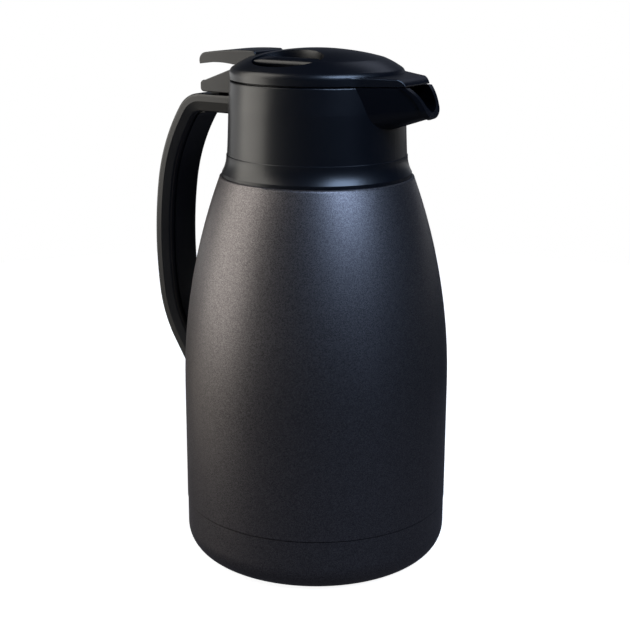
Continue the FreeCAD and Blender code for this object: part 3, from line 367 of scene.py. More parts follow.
# Solvent paint with fine aluminium flake on the shell, the base cap and the stirrup, baked matt: a soft
# warm grey where it is lit and almost black where it is not.
GRAPHITE_PAINT = MetallicPaint("graphite_metallic_paint", binder="#4f4c4d", flake="#767273",
                               roughness=0.44, flake_mm=0.35, peel_mm=0.9, peel_depth_mm=0.02)
# Polypropylene from a finely eroded mould: deep black with broad satin highlights.
BLACK_PP = Moulding("black_satin_polypropylene", colour="#04060b", worn="#080b12", roughness=0.33,
                    grain_mm=0.30, grain_depth_mm=0.008)
# The same plastic from a plain mould, on the faces that only show with the lid open.
INNER_PP = Moulding("black_plain_polypropylene", colour="#08090d", worn="#0d0e13", roughness=0.42,
                    grain_mm=0.5, grain_depth_mm=0.012)
# Deep drawn stainless steel, satin from rolling, for the bottle and its floor.
BOTTLE_STEEL = BareMetal("drawn_stainless_steel", colour="#c9c6c1", shade="#a9a6a1", roughness=0.28,
                         line_mm=0.6, grain=Grain.UPRIGHT)
# Cold headed stainless screws, pins and spring wire.
WIRE_STEEL = BareMetal("turned_stainless_steel", colour="#c2c0bc", shade="#9b9995", roughness=0.25,
                       line_mm=0.25, grain=Grain.ACROSS)
# Sintered getter pellet, dull and dark.
GETTER_PELLET = BareMetal("sintered_getter_alloy", colour="#6c6b69", shade="#4a4947", roughness=0.55,
                          line_mm=0.2, grain=Grain.ACROSS)
# Grey food silicone of the gaskets.
SEAL_SILICONE = Silicone("grey_food_silicone", colour="#8d8c89", bloom="#989794", roughness=0.55,
                         speck_mm=0.4)
# Black thermoplastic rubber of the foot pad.
FOOT_RUBBER = Silicone("black_foot_rubber", colour="#161617", bloom="#1e1e1f", roughness=0.7,
                       speck_mm=0.5)


Finish = MetallicPaint | Moulding | BareMetal | Silicone


def choose(piece: Object) -> None:
    """Select one object alone and make it the active one.

    Args:
        piece: object that is chosen.
    """
    bpy.ops.object.select_all(action="DESELECT")
    piece.select_set(True)
    bpy.context.view_layer.objects.active = piece


@contextmanager
def editing(piece: Object) -> Iterator[None]:
    """Work on one piece in edit mode, with nothing selected at the start.

    Args:
        piece: object that is edited.
    """
    choose(piece)
    bpy.ops.object.mode_set(mode="EDIT")
    bpy.ops.mesh.select_all(action="DESELECT")
    yield
    bpy.ops.object.mode_set(mode="OBJECT")


def pick_faces(piece: Object, wanted: Callable[[Vector, Vector], bool]) -> None:
    """Select the faces of the edited piece that pass a test.

    Args:
        piece: object in edit mode.
        wanted: test of a face's middle and normal.
    """
    bpy.ops.mesh.select_mode(type="FACE")
    bpy.ops.mesh.select_all(action="DESELECT")
    shape = bmesh.from_edit_mesh(piece.data)
    for face in shape.faces:
        if wanted(face.calc_center_median(), face.normal):
            face.select_set(True)
    bmesh.update_edit_mesh(piece.data)


def pick_edges(piece: Object, wanted: Callable[[Vector, Vector], bool]) -> None:
    """Select the edges of the edited piece that pass a test.

    Args:
        piece: object in edit mode.
        wanted: test of an edge's two ends.
    """
    bpy.ops.mesh.select_mode(type="EDGE")
    bpy.ops.mesh.select_all(action="DESELECT")
    shape = bmesh.from_edit_mesh(piece.data)
    for edge in shape.edges:
        if wanted(edge.verts[0].co, edge.verts[1].co):
            edge.select_set(True)
    bmesh.update_edit_mesh(piece.data)


def extrude(rise: float) -> None:
    """Extrude what is selected by this many metres upwards, or downwards where it is negative."""
    bpy.ops.mesh.extrude_region_move(TRANSFORM_OT_translate={"value": (0, 0, rise)})


def scale_round(share: float, height: float) -> None:
    """Scale what is selected at a height round the upright axis."""
    bpy.ops.transform.resize(value=(share, share, 1), center_override=(0, 0, height))


def settle(piece: Object, smooth_below: float = 35.0) -> None:
    """Put a piece's place into its mesh and shade its round faces smoothly.

    Args:
        piece: object that is finished.
        smooth_below: degrees between faces below which an edge looks round.
    """
    choose(piece)
    bpy.ops.object.transform_apply(location=True, rotation=True, scale=True)
    bpy.ops.object.shade_smooth_by_angle(angle=math.radians(smooth_below))


def apply_modifier(piece: Object, kind: str, **settings: object) -> None:
    """Add a modifier and apply it at once.

    Args:
        piece: object that it works on.
        kind: Blender's name of the modifier type.
        **settings: its properties.
    """
    choose(piece)
    modifier = piece.modifiers.new(kind.lower(), kind)
    for name, value in settings.items():
        setattr(modifier, name, value)
    bpy.ops.object.modifier_apply(modifier=modifier.name)


def solid_boxes(node: str) -> list[tuple[Vector, Vector]]:
    """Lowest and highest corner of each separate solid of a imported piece.

    Args:
        node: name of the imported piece.

    Returns:
        The boxes, from a merged copy of the piece's mesh.
    """
    shape = bmesh.new()
    shape.from_mesh(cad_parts[node].data)
    bmesh.ops.remove_doubles(shape, verts=shape.verts, dist=SEAM)
    waiting = set(shape.verts)
    boxes = []
    while waiting:
        island = [waiting.pop()]
        for vertex in island:
            for edge in vertex.link_edges:
                other = edge.other_vert(vertex)
                if other in waiting:
                    waiting.remove(other)
                    island.append(other)
        low = Vector([min(vertex.co[axis] for vertex in island) for axis in range(3)])
        high = Vector([max(vertex.co[axis] for vertex in island) for axis in range(3)])
        boxes.append((low, high))
    shape.free()
    return boxes


def bore_radius(node: str) -> float:
    """Radius of the bore of a packed ring that lies round the jug's axis."""
    return min(vertex.co.to_2d().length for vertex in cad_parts[node].data.vertices)


class HeadTo(Enum):
    """Which way the head of a screw looks."""

    SPOUT = Vector((1, 0, 0))
    HANDLE = Vector((-1, 0, 0))
    UP = Vector((0, 0, 1))
    DOWN = Vector((0, 0, -1))


@dataclass(frozen=True)
class PanScrew:
    """Pan head screw with a cross recess, ridges for its thread and a pointed tail."""

    head_height: float = 1.5 * MM
    head_top_share: float = 0.1
    shank_radius: float = 1.4 * MM
    brow: float = 0.5 * MM
    brow_steps: int = 4
    tail: float = 1.0 * MM
    tail_share: float = 0.3
    recess_arm_share: float = 0.62
    recess_width_share: float = 0.17
    recess_depth: float = 0.9 * MM
    recess_floor_share: float = 0.6
    thread_pitch: float = 1.0 * MM
    thread_rise: float = 0.12 * MM
    sides: int = 32
    smooth_below: float = 25.0

    def blank(self, head_radius: float, length: float) -> Object:
        """The turned screw, upright, with the top of its head at the origin.

        Args:
            head_radius: radius of the head in metres.
            length: whole length in metres.

        Returns:
            The screw without its recess.
        """
        bpy.ops.object.select_all(action="DESELECT")
        bpy.ops.mesh.primitive_cylinder_add(vertices=self.sides, radius=head_radius,
                                            depth=self.head_height,
                                            location=(0, 0, -self.head_height / 2))
        screw = bpy.context.object
        settle(screw)
        reach = length - self.head_height
        turns = max(1, int((reach - self.tail) / self.thread_pitch))
        root_share = 1 - self.thread_rise / self.shank_radius
        with editing(screw):
            pick_faces(screw, lambda middle, normal: normal.z < -FACING)
            bpy.ops.mesh.inset(thickness=head_radius - self.shank_radius + self.thread_rise)
            extrude(-(reach - self.tail - turns * self.thread_pitch))
            for half_turn in range(2 * turns):
                extrude(-self.thread_pitch / 2)
                scale_round(1 / root_share if half_turn % 2 == 0 else root_share, -length)
            extrude(-self.tail)
            scale_round(self.tail_share, -length)
            pick_edges(screw, lambda one, other: min(one.z, other.z)
                       > -self.head_height * self.head_top_share)
            bpy.ops.mesh.bevel(offset=self.brow, segments=self.brow_steps, profile=0.5)
        return screw

    def cut_recess(self, screw: Object, head_radius: float) -> None:
        """Sink the cross into the head.

        Args:
            screw: upright screw.
            head_radius: radius of its head in metres.
        """
        arm = head_radius * self.recess_arm_share
        width = head_radius * self.recess_width_share
        for half_x, half_y in ((arm, width), (width, arm)):
            bpy.ops.object.select_all(action="DESELECT")
            bpy.ops.mesh.primitive_cube_add(size=2, location=(0, 0, 0),
                                            scale=(half_x, half_y, self.recess_depth))
            punch = bpy.context.object
            settle(punch)
            with editing(punch):
                pick_faces(punch, lambda middle, normal: normal.z < -FACING)
                scale_round(self.recess_floor_share, -self.recess_depth)
            apply_modifier(screw, "BOOLEAN", operation="DIFFERENCE", object=punch, solver="EXACT")
            bpy.data.objects.remove(punch, do_unlink=True)

    def set_into(self, node: str, head_to: HeadTo, name: str, tip: float = 0.0,
                 sink: float = 0.0) -> Object:
        """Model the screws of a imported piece, one in the place of each solid.

        Args:
            node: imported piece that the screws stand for.
            head_to: where the heads look.
            name: what the new piece is called.
            tip: degrees by which the heads look down from there.
            sink: metres by which the screws are driven deeper.

        Returns:
            All the screws as one object.
        """
        way = head_to.value
        axis = max(range(3), key=lambda index: abs(way[index]))
        across = (axis + 1) % 3
        copies = []
        for low, high in solid_boxes(node):
            head_radius = (high[across] - low[across]) / 2
            screw = self.blank(head_radius, high[axis] - low[axis])
            self.cut_recess(screw, head_radius)
            place = (low + high) / 2
            place[axis] = high[axis] if way[axis] > 0 else low[axis]
            screw.rotation_mode = "QUATERNION"
            tipped = Matrix.Rotation(math.radians(-tip), 3, "Y") @ way
            screw.rotation_quaternion = tipped.to_track_quat("Z", "Y")
            screw.location = place - way * sink
            settle(screw, self.smooth_below)
            copies.append(screw)
        choose(copies[0])
        for screw in copies:
            screw.select_set(True)
        if len(copies) > 1:
            bpy.ops.object.join()
        copies[0].name = name
        return copies[0]


@dataclass
class Finisher:
    """Keeps one material for each finish and puts it on the pieces."""

    made: dict[str, Material] = field(default_factory=dict)

    def material(self, finish: Finish) -> Material:
        """The material of a finish, made the first time that it is asked for.

        Args:
            finish: what a piece is made of.

        Returns:
            The one material that all its pieces share.
        """
        if finish.name not in self.made:
            self.made[finish.name] = finish.build()
        return self.made[finish.name]

    def dress(self, piece: Object, finish: Finish) -> None:
        """Put a finish on every slot of a piece.

        Args:
            piece: object that is dressed.
            finish: what it is made of.
        """
        material = self.material(finish)
        if not piece.material_slots:
            piece.data.materials.append(material)
        for place in piece.material_slots:
            place.material = material


@dataclass
class SubAssembly:
    """Pieces of the jug that are made and dressed together."""

    finisher: Finisher

    def packed(self) -> dict[str, Finish]:
        """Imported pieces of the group, with what each is made of."""
        return {}

    def fittings(self) -> None:
        """Model the pieces that the group adds; a group with none leaves this as it is."""

    def build(self) -> None:
        """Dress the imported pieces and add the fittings."""
        for node, finish in self.packed().items():
            self.finisher.dress(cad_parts[node], finish)
            log.info("%s: %s in %s", type(self).__name__, node, finish.name)
        self.fittings()

    def fit(self, piece: Object, node: str, body: str, slot: str, finish: Finish) -> None:
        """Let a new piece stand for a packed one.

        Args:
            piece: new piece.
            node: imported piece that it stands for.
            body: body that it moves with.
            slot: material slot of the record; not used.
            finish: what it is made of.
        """
        self.finisher.dress(piece, finish)
        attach(piece, body)
        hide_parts(node)
        log.info("%s: %s in place of %s", type(self).__name__, piece.name, node)


@dataclass
class VacuumBody(SubAssembly):
    """Painted steel shell with its base cap, the inner bottle and the foot pad."""

    pad_border: float = 3.0 * MM
    rib_width: float = 3.2 * MM
    groove_width: float = 1.8 * MM
    groove_depth: float = 0.9 * MM
    ribs: int = 7
    pad_edge: float = 0.4 * MM
    edge_steps: int = 2
    pad_sides: int = 128

    def packed(self) -> dict[str, Finish]:
        """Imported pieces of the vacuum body.

        Returns:
            The finish of each, by its name.
        """
        return {
            "outer_shell": GRAPHITE_PAINT,
            "base_cap": GRAPHITE_PAINT,
            "base_pad": FOOT_RUBBER,
            "vacuum_base_plate": BOTTLE_STEEL,
            "inner_bottle": BOTTLE_STEEL,
            "getter": GETTER_PELLET,
        }

    def foot_pad(self) -> Object:
        """Model the soft pad with ring ribs on the side that meets the table.

        Returns:
            The pad.
        """
        low, high = (Vector(corner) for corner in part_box("base_pad"))
        radius = (high.x - low.x) / 2
        bpy.ops.object.select_all(action="DESELECT")
        bpy.ops.mesh.primitive_cylinder_add(vertices=self.pad_sides, radius=radius, depth=high.z - low.z,
                                            location=(low + high) / 2)
        pad = bpy.context.object
        pad.name = "ribbed_foot_pad"
        settle(pad)
        grooves = []
        edge = radius - self.pad_border
        with editing(pad):
            pick_faces(pad, lambda middle, normal: normal.z < -FACING)
            bpy.ops.mesh.inset(thickness=self.pad_border)
            for _ in range(self.ribs):
                bpy.ops.mesh.inset(thickness=self.groove_width)
                grooves.append((edge - self.groove_width, edge))
                bpy.ops.mesh.inset(thickness=self.rib_width)
                edge -= self.groove_width + self.rib_width
            pick_faces(pad, lambda middle, normal: normal.z < -FACING and any(
                inner < middle.to_2d().length < outer for inner, outer in grooves))
            extrude(self.groove_depth)
        apply_modifier(pad, "BEVEL", width=self.pad_edge, segments=self.edge_steps, limit_method="ANGLE")
        settle(pad)
        return pad

    def fittings(self) -> None:
        """Add the ribbed foot pad."""
        self.fit(self.foot_pad(), "base_pad", "jug_body", "pad_rubber", FOOT_RUBBER)


@dataclass
class Collar(SubAssembly):
    """Black collar with the spout, its ring on the steel mouth and the skin over its latch pockets.

    The skin lies on the outside of the collar, a cone there, between skin_low and skin_high.
    """

    skin_low: float = 265.4 * MM
    skin_high: float = 269.0 * MM
    skin_low_radius: float = 47.87 * MM
    skin_high_radius: float = 47.63 * MM
    skin_rear: float = -8.6 * MM
    skin_front: float = 5.6 * MM
    skin_thickness: float = 0.14 * MM
    skin_sides: int = 360

    def packed(self) -> dict[str, Finish]:
        """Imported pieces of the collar."""
        return {"neck_collar": BLACK_PP, "mouth_gasket": SEAL_SILICONE}

    def pocket_skin(self) -> Object:
        """Model the two strips of the collar's wall that close the latch pockets from outside.

        Returns:
            Both strips as one object.
        """
        bpy.ops.object.select_all(action="DESELECT")
        bpy.ops.mesh.primitive_cone_add(vertices=self.skin_sides, radius1=self.skin_low_radius,
                                        radius2=self.skin_high_radius,
                                        depth=self.skin_high - self.skin_low,
                                        location=(0, 0, (self.skin_low + self.skin_high) / 2),
                                        end_fill_type="NOTHING")
        skin = bpy.context.object
        skin.name = "latch_pocket_skin"
        settle(skin)
        with editing(skin):
            for edge, outward in ((self.skin_rear, -1), (self.skin_front, 1)):
                bpy.ops.mesh.select_all(action="SELECT")
                bpy.ops.mesh.bisect(plane_co=(edge, 0, 0), plane_no=(outward, 0, 0), clear_outer=True)
        apply_modifier(skin, "SOLIDIFY", thickness=self.skin_thickness, offset=-1.0)
        settle(skin)
        return skin

    def fittings(self) -> None:
        """Add the skin over the latch pockets."""
        skin = self.pocket_skin()
        self.finisher.dress(skin, BLACK_PP)
        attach(skin, "jug_body")
        log.info("%s: %s", type(self).__name__, skin.name)


@dataclass
class Handle(SubAssembly):
    """Moulded grip and its inner cover, the steel stirrup and the screws.

    The outer face of the foot leans by foot_lean degrees and goes through foot_outside.
    """

    screw: PanScrew = PanScrew()
    foot_lean: float = 32.0
    foot_outside: Vector = field(default_factory=lambda: Vector((-79.24, 0, 90.0)) * MM)
    stirrup_inset: float = 0.3 * MM
    screw_sink: float = 0.5 * MM

    def packed(self) -> dict[str, Finish]:
        """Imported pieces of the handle.

        Returns:
            The finish of each, by its name.
        """
        return {
            "handle": BLACK_PP,
            "handle_inner_cover": BLACK_PP,
            "handle_bracket": GRAPHITE_PAINT,
            "handle_lower_screw": WIRE_STEEL,
            "handle_upper_screws": WIRE_STEEL,
        }

    def stirrup(self) -> Object:
        """Trim a copy of the steel stirrup to the slope of the handle's foot, inside its outer face.

        Returns:
            The trimmed copy.
        """
        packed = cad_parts["handle_bracket"]
        trimmed = bpy.data.objects.new("trimmed_stirrup", packed.data.copy())
        bpy.context.collection.objects.link(trimmed)
        lean = math.radians(self.foot_lean)
        outward = Vector((-math.cos(lean), 0, -math.sin(lean)))
        with editing(trimmed):
            bpy.ops.mesh.select_all(action="SELECT")
            bpy.ops.mesh.remove_doubles(threshold=SEAM)
            bpy.ops.mesh.bisect(plane_co=self.foot_outside - outward * self.stirrup_inset,
                                plane_no=outward, use_fill=True, clear_outer=True)
            bpy.ops.mesh.select_all(action="SELECT")
            bpy.ops.mesh.normals_make_consistent(inside=False)
        settle(trimmed)
        return trimmed

    def fittings(self) -> None:
        """Add the stirrup and the three screws."""
        self.fit(self.stirrup(), "handle_bracket", "jug_body", "graphite_paint", GRAPHITE_PAINT)
        lower = self.screw.set_into("handle_lower_screw", HeadTo.HANDLE, "lower_cross_screw",
                                    self.foot_lean, self.screw_sink)
        self.fit(lower, "handle_lower_screw", "jug_body", "screw_steel", WIRE_STEEL)
        upper = self.screw.set_into("handle_upper_screws", HeadTo.SPOUT, "upper_cross_screws")
        self.fit(upper, "handle_upper_screws", "jug_body", "screw_steel", WIRE_STEEL)


@dataclass
class Lid(SubAssembly):
    """Domed cover on its base, with the hinge block behind."""

    screw: PanScrew = PanScrew()

    def packed(self) -> dict[str, Finish]:
        """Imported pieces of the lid.

        Returns:
            The finish of each, by its name.
        """
        return {
            "lid_cover": BLACK_PP,
            "hinge_block": BLACK_PP,
            "lid_base": INNER_PP,
            "lid_seal": SEAL_SILICONE,
            "hinge_screws": WIRE_STEEL,
            "hinge_pin": WIRE_STEEL,
            "lever_pin": WIRE_STEEL,
            "lid_screws": WIRE_STEEL,
        }

    def fittings(self) -> None:
        """Add the screws of the cover and of the hinge block."""
        cover = self.screw.set_into("lid_screws", HeadTo.DOWN, "cover_cross_screws")
        self.fit(cover, "lid_screws", "lid", "screw_steel", WIRE_STEEL)
        block = self.screw.set_into("hinge_screws", HeadTo.SPOUT, "block_cross_screws")
        self.fit(block, "hinge_screws", "lid", "screw_steel", WIRE_STEEL)


@dataclass
class Stopper(SubAssembly):
    """Plug under the lid with its soft lips."""

    screw: PanScrew = PanScrew()
    lips: int = 3
    levels_per_lip: int = 4
    lip_rise: float = 0.9 * MM
    lip_edge: float = 0.25 * MM
    edge_steps: int = 2
    skirt_drop: float = 2.3 * MM
    ring_sides: int = 128
    smooth_below: float = 50.0

    def packed(self) -> dict[str, Finish]:
        """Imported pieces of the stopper.

        Returns:
            The finish of each, by its name.
        """
        return {
            "stopper_body": INNER_PP,
            "stopper_gasket": SEAL_SILICONE,
            "stopper_screws": WIRE_STEEL,
        }

    def lip_ring(self) -> Object:
        """Model the ring whose lips press into the steel mouth one above another.

        Returns:
            The ring.
        """
        low, high = (Vector(corner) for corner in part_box("stopper_gasket"))
        radius = (high.x - low.x) / 2
        depth = high.z - low.z
        bpy.ops.object.select_all(action="DESELECT")
        bpy.ops.mesh.primitive_cylinder_add(vertices=self.ring_sides, radius=radius, depth=depth,
                                            location=(low + high) / 2, end_fill_type="NOTHING")
        ring = bpy.context.object
        ring.name = "stopper_lip_ring"
        settle(ring)
        # The wall is one wave of a cosine for each lip, and its skirt draws in towards the bottom.
        levels = self.levels_per_lip * self.lips
        near = depth / levels / 4
        with editing(ring):
            for level in range(1, levels):
                bpy.ops.mesh.select_all(action="SELECT")
                bpy.ops.mesh.bisect(plane_co=(0, 0, low.z + depth * level / levels), plane_no=(0, 0, 1))
            for level in range(levels + 1):
                height = low.z + depth * level / levels
                pick_edges(ring, lambda one, other: max(abs(one.z - height),
                                                        abs(other.z - height)) < near)
                taper = self.skirt_drop * (1 - level / levels) ** 2
                wave = 0.5 + 0.5 * math.cos(2 * math.pi * level / self.levels_per_lip)
                scale_round((radius - taper - self.lip_rise * wave / 2) / radius, height)
            # From the rim inwards, down through the bore and back to the wall.
            pick_edges(ring, lambda one, other: min(one.z, other.z) > high.z - near)
            extrude(0)
            scale_round(bore_radius("stopper_gasket") / (radius - self.lip_rise), high.z)
            extrude(-depth)
            pick_edges(ring, lambda one, other: max(one.z, other.z) < low.z + near)
            bpy.ops.mesh.bridge_edge_loops()
            bpy.ops.mesh.select_all(action="SELECT")
            bpy.ops.mesh.normals_make_consistent(inside=False)
        apply_modifier(ring, "BEVEL", width=self.lip_edge, segments=self.edge_steps, limit_method="ANGLE")
        settle(ring, self.smooth_below)
        return ring

    def fittings(self) -> None:
        """Add the lip ring and the screws."""
        self.fit(self.lip_ring(), "stopper_gasket", "lid", "silicone", SEAL_SILICONE)
        screws = self.screw.set_into("stopper_screws", HeadTo.UP, "stopper_cross_screws")
        self.fit(screws, "stopper_screws", "lid", "screw_steel", WIRE_STEEL)


@dataclass
class PourMechanism(SubAssembly):
    """Thumb lever, and the valve that its fork lifts."""

    def packed(self) -> dict[str, Finish]:
        """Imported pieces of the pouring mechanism.

        Returns:
            The finish of each, by its name.
        """
        return {
            "pour_lever": BLACK_PP,
            "valve_stem": INNER_PP,
            "stem_cap": INNER_PP,
            "valve_disc": SEAL_SILICONE,
            "valve_spring": WIRE_STEEL,
        }


@dataclass
class Releases(SubAssembly):
    """Squeeze pads with their latch tongues and springs, left and right."""

    def packed(self) -> dict[str, Finish]:
        """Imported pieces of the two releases.

        Returns:
            The finish of each, by its name.
        """
        pieces = {}
        for side in ("left", "right"):
            pieces[f"release_pad_{side}"] = BLACK_PP
            pieces[f"release_spring_{side}"] = WIRE_STEEL
        return pieces


@dataclass(frozen=True)
class SoftBox:
    """Area lamp that faces the jug.

    It hangs so many degrees to the right of the camera and above the horizon, and its sizes are in
    metres. A brightness of 1 makes its face white.
    """

    name: str
    turn: float
    rise: float
    distance: float
    width: float
    height: float
    brightness: float
    colour: str


@dataclass(frozen=True)
class Reflector:
    """Round sheet on the table, so many degrees to the right of the camera, that gives back light."""

    name: str
    turn: float
    distance: float
    radius: float
    glow: str


SOFT_BOXES = (
    SoftBox("left_soft_box", turn=-90, rise=20, distance=0.97, width=0.8, height=1.5,
            brightness=3.2, colour="#fffaf0"),
    SoftBox("high_right_soft_box", turn=37, rise=44, distance=1.3, width=0.7, height=0.6,
            brightness=13.5, colour="#bcd7ff"),
    SoftBox("back_right_soft_box", turn=150, rise=42, distance=1.9, width=0.9, height=0.6,
            brightness=0.6, colour="#dfe8ff"),
)
REFLECTORS = (
    Reflector("left_table", turn=-95, distance=0.52, radius=0.26, glow="#c9c3b8"),
    Reflector("right_table", turn=42, distance=1.1, radius=0.2, glow="#b4caf5"),
)


@dataclass
class Studio:
    """White sweep in a dark room that is open to the left behind the jug, with three soft boxes.

    The largest stands to the left, the cool one hangs high to the right and the faint one hangs behind
    the jug. The cards and the reflectors lie on the table, each a little above the one before.
    """

    table_radius: float = 0.8
    table_colour: str = "#d8d8d8"
    table_glow: float = 0.92
    white: str = "#ffffff"
    sky_fill: float = 0.25
    room_radius: float = 2.6
    room_height: float = 2.8
    room_edge: float = 0.10
    room_turn: float = -135.0
    room_colour: str = "#161a24"
    card_cloth: str = "#141416"
    card_colour: str = "#1a1c22"
    card_reach: float = 1.5
    card_gap: float = 0.4 * MM
    card_hole: float = 52 * MM
    card_layer: int = 1
    near_layer: int = 2
    sheet_layer: int = 3
    near_radius: float = 0.34
    near_colour: str = "#44464f"
    back_glow: float = 0.27
    back_colour: str = "#dfe6f5"
    back_start: float = 0.3
    back_level: float = 0.5
    wide_sides: int = 96
    sheet_sides: int = 48

    def towards(self, turn: float, rise: float, distance: float) -> Vector:
        """A point round the jug.

        Args:
            turn: degrees to the right of the camera.
            rise: degrees above the horizon.
            distance: metres from the middle of the jug.

        Returns:
            The point in the jug's frame.
        """
        middle = Vector((0, 0, (cad_box[0].z + cad_box[1].z) / 2))
        angle = math.radians(AZIMUTH + turn)
        level = math.cos(math.radians(rise))
        way = Vector((math.sin(angle) * level, -math.cos(angle) * level, math.sin(math.radians(rise))))
        return middle + way * distance

    def soft_box(self, box: SoftBox) -> None:
        """Hang a soft box that faces the jug.

        Args:
            box: which one, and where it hangs.
        """
        place = self.towards(box.turn, box.rise, box.distance)
        bpy.ops.object.light_add(type="AREA", location=place)
        lamp = bpy.context.object
        lamp.name = box.name
        lamp.data.shape = "RECTANGLE"
        lamp.data.size = box.width
        lamp.data.size_y = box.height
        lamp.data.energy = box.brightness * math.pi * box.width * box.height
        lamp.data.color = linear(box.colour)[:3]
        aim = self.towards(0, 0, 0) - place
        lamp.rotation_mode = "QUATERNION"
        lamp.rotation_quaternion = aim.to_track_quat("-Z", "Y")
        lamp.visible_camera = False

    def background_share(self, tree: NodeTree) -> NodeSocket:
        """Add a factor of 1 for rays that come from the camera, from gloss or through glass.

        Args:
            tree: node tree that receives it.

        Returns:
            Socket with the factor.
        """
        rays = add_node(tree, "ShaderNodeLightPath").outputs
        gloss = add_node(tree, "ShaderNodeMath", operation="MAXIMUM",
                         links={0: rays["Is Camera Ray"], 1: rays["Is Glossy Ray"]})
        both = add_node(tree, "ShaderNodeMath", operation="MAXIMUM",
                        links={0: gloss.outputs[0], 1: rays["Is Transmission Ray"]})
        return both.outputs[0]

    def sky(self) -> None:
        """White behind the jug, and little light from it elsewhere."""
        world = bpy.data.worlds.new("white_sweep")
        bpy.context.scene.world = world
        world.use_nodes = True
        tree = world.node_tree
        tree.nodes.clear()
        fill = add_node(tree, "ShaderNodeBackground",
                        {"Color": linear(self.white), "Strength": self.sky_fill})
        white = add_node(tree, "ShaderNodeBackground", {"Color": linear(self.white), "Strength": 1.0})
        either = add_node(tree, "ShaderNodeMixShader", links={0: self.background_share(tree),
                                                              1: fill.outputs[0], 2: white.outputs[0]})
        add_node(tree, "ShaderNodeOutputWorld", links={"Surface": either.outputs[0]})

    def floor(self) -> None:
        """Pale table that shows as white and keeps the jug's shadow."""
        bpy.ops.object.select_all(action="DESELECT")
        bpy.ops.mesh.primitive_circle_add(vertices=self.wide_sides, radius=self.table_radius,
                                          fill_type="NGON")
        table = bpy.context.object
        table.name = "table"
        material, tree = empty_material("white_table")
        paper = add_node(tree, "ShaderNodeBsdfDiffuse", {"Color": linear(self.table_colour)})
        glow = add_node(tree, "ShaderNodeEmission",
                        {"Color": linear(self.white), "Strength": self.table_glow})
        lifted = add_node(tree, "ShaderNodeAddShader", links={0: paper.outputs[0], 1: glow.outputs[0]})
        either = add_node(tree, "ShaderNodeMixShader", links={0: self.background_share(tree),
                                                              1: paper.outputs[0], 2: lifted.outputs[0]})
        close_material(tree, either)
        table.data.materials.append(material)

    def dark_card(self, card: Object, name: str, glow: str, back_glow: float = 0.0) -> None:
        """Finish an object as a dark card that only the jug sees.

        Args:
            card: object that becomes the card.
            name: what the card is called.
            glow: sRGB colour of the light that it gives back all over.
            back_glow: how bright it is low behind the jug, where 1 is white.
        """
        card.name = name
        material, tree = empty_material(name)
        place = own_place(tree)
        behind = self.towards(180, 0, 1) - self.towards(0, 0, 0)
        facing = add_node(tree, "ShaderNodeVectorMath", {1: behind}, {0: place}, operation="DOT_PRODUCT")
        back_range = (self.back_start * self.room_radius, self.room_radius)
        far = stretched(tree, facing.outputs["Value"], back_range, UNIT_RANGE,
                        interpolation_type="SMOOTHSTEP")
        height = add_node(tree, "ShaderNodeSeparateXYZ", links={"Vector": place})
        low = stretched(tree, height.outputs["Z"], (0.0, self.back_level * self.room_height),
                        (back_glow, 0.0))
        strength = add_node(tree, "ShaderNodeMath", links={0: far, 1: low}, operation="MULTIPLY")
        cloth = add_node(tree, "ShaderNodeBsdfDiffuse", {"Color": linear(self.card_cloth)})
        dusk = add_node(tree, "ShaderNodeEmission", {"Color": linear(glow), "Strength": 1.0})
        evening = add_node(tree, "ShaderNodeEmission", {"Color": linear(self.back_colour)},
                           {"Strength": strength.outputs[0]})
        light = add_node(tree, "ShaderNodeAddShader", links={0: dusk.outputs[0], 1: evening.outputs[0]})
        both = add_node(tree, "ShaderNodeAddShader", links={0: cloth.outputs[0], 1: light.outputs[0]})
        close_material(tree, both)
        card.data.materials.append(material)
        card.visible_camera = False
        card.visible_shadow = False

    def lay_ring(self, radius: float, layer: int) -> Object:
        """Lay a flat ring on the table, with room for the jug in its middle.

        Args:
            radius: metres to its outer edge.
            layer: how many gaps it lies above the table.

        Returns:
            The ring.
        """
        bpy.ops.object.select_all(action="DESELECT")
        bpy.ops.mesh.primitive_circle_add(vertices=self.wide_sides, radius=radius, fill_type="NGON",
                                          location=(0, 0, layer * self.card_gap))
        ring = bpy.context.object
        with editing(ring):
            bpy.ops.mesh.select_all(action="SELECT")
            bpy.ops.mesh.inset(thickness=radius - self.card_hole)
            bpy.ops.mesh.delete(type="FACE")
        return ring

    def room(self) -> None:
        """Dark card on the table, and a dark canopy whose lower edge rises to the left behind the jug."""
        middle = self.towards(0, 0, 0)
        facing = self.towards(self.room_turn, 0, 1) - middle
        card = self.lay_ring(self.room_radius, self.card_layer)
        with editing(card):
            bpy.ops.mesh.select_all(action="SELECT")
            bpy.ops.mesh.bisect(plane_co=middle + facing * self.card_reach, plane_no=facing,
                                clear_outer=True)
        self.dark_card(card, "table_card", self.card_colour)
        bpy.ops.object.select_all(action="DESELECT")
        bpy.ops.mesh.primitive_cylinder_add(vertices=self.wide_sides, radius=self.room_radius,
                                            depth=self.room_height,
                                            location=(0, 0, self.room_height / 2), end_fill_type="NGON")
        canopy = bpy.context.object
        with editing(canopy):
            bpy.ops.mesh.select_all(action="SELECT")
            lean = Vector((0, 0, 1)) - facing * (self.room_edge / self.room_radius)
            bpy.ops.mesh.bisect(plane_co=(0, 0, self.room_edge), plane_no=lean, clear_inner=True)
        choose(canopy)
        bpy.ops.object.transform_apply(location=True)
        self.dark_card(canopy, "room_canopy", self.room_colour, self.back_glow)

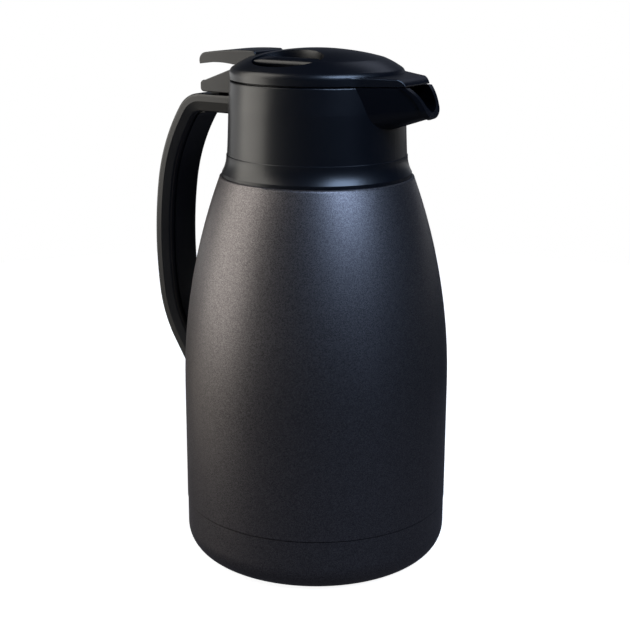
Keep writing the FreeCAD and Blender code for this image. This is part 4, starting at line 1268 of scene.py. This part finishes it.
    def reflectors(self) -> None:
        """Lay out the light that the table throws back: round the foot, to the left and to the right."""
        near = self.lay_ring(self.near_radius, self.near_layer)
        self.dark_card(near, "near_table", self.near_colour)
        for sheet in REFLECTORS:
            place = self.towards(sheet.turn, 0, sheet.distance)
            bpy.ops.object.select_all(action="DESELECT")
            bpy.ops.mesh.primitive_circle_add(vertices=self.sheet_sides, radius=sheet.radius,
                                              fill_type="NGON",
                                              location=(place.x, place.y,
                                                        self.sheet_layer * self.card_gap))
            self.dark_card(bpy.context.object, sheet.name, sheet.glow)

    def build(self) -> None:
        """Set up the whole studio."""
        self.sky()
        self.floor()
        self.room()
        self.reflectors()
        for box in SOFT_BOXES:
            self.soft_box(box)


@dataclass
class Camera:
    """The photograph's view of the jug.

    The pitch and the roll are in radians, the lens and the sensor in millimetres, and the shift is in
    widths of the picture.
    """

    distance: float = 732.2 * MM
    height: float = 337.6 * MM
    aside: float = 0.48 * MM
    pitch: float = 0.2655
    roll: float = 0.0040
    lens: float = 76.28
    sensor: float = 36.0
    shift: tuple[float, float] = (-0.00365, -0.0018)

    def place(self) -> None:
        """Make the camera and choose it."""
        data = bpy.data.cameras.new("photo_view")
        data.lens = self.lens
        data.sensor_width = self.sensor
        data.shift_x, data.shift_y = self.shift
        camera = bpy.data.objects.new("photo_view", data)
        bpy.context.collection.objects.link(camera)
        turn = Matrix.Rotation(math.radians(AZIMUTH), 4, "Z")
        stand = Matrix.Translation((self.aside, -self.distance, self.height))
        tilt = Matrix.Rotation(math.pi / 2 - self.pitch, 4, "X")
        lean = Matrix.Rotation(self.roll, 4, "Z")
        camera.matrix_world = turn @ stand @ tilt @ lean
        bpy.context.scene.camera = camera


def main() -> None:
    """Dress the jug piece by piece, then build the studio round it."""
    logging.basicConfig(level=logging.INFO, format="%(name)s: %(message)s")
    finisher = Finisher()
    for group in (VacuumBody, Collar, Handle, Lid, Stopper, PourMechanism, Releases):
        group(finisher).build()
    Studio().build()
    Camera().place()
    view = bpy.context.scene.view_settings
    view.view_transform = "Standard"


if __name__ == "__main__":
    main()
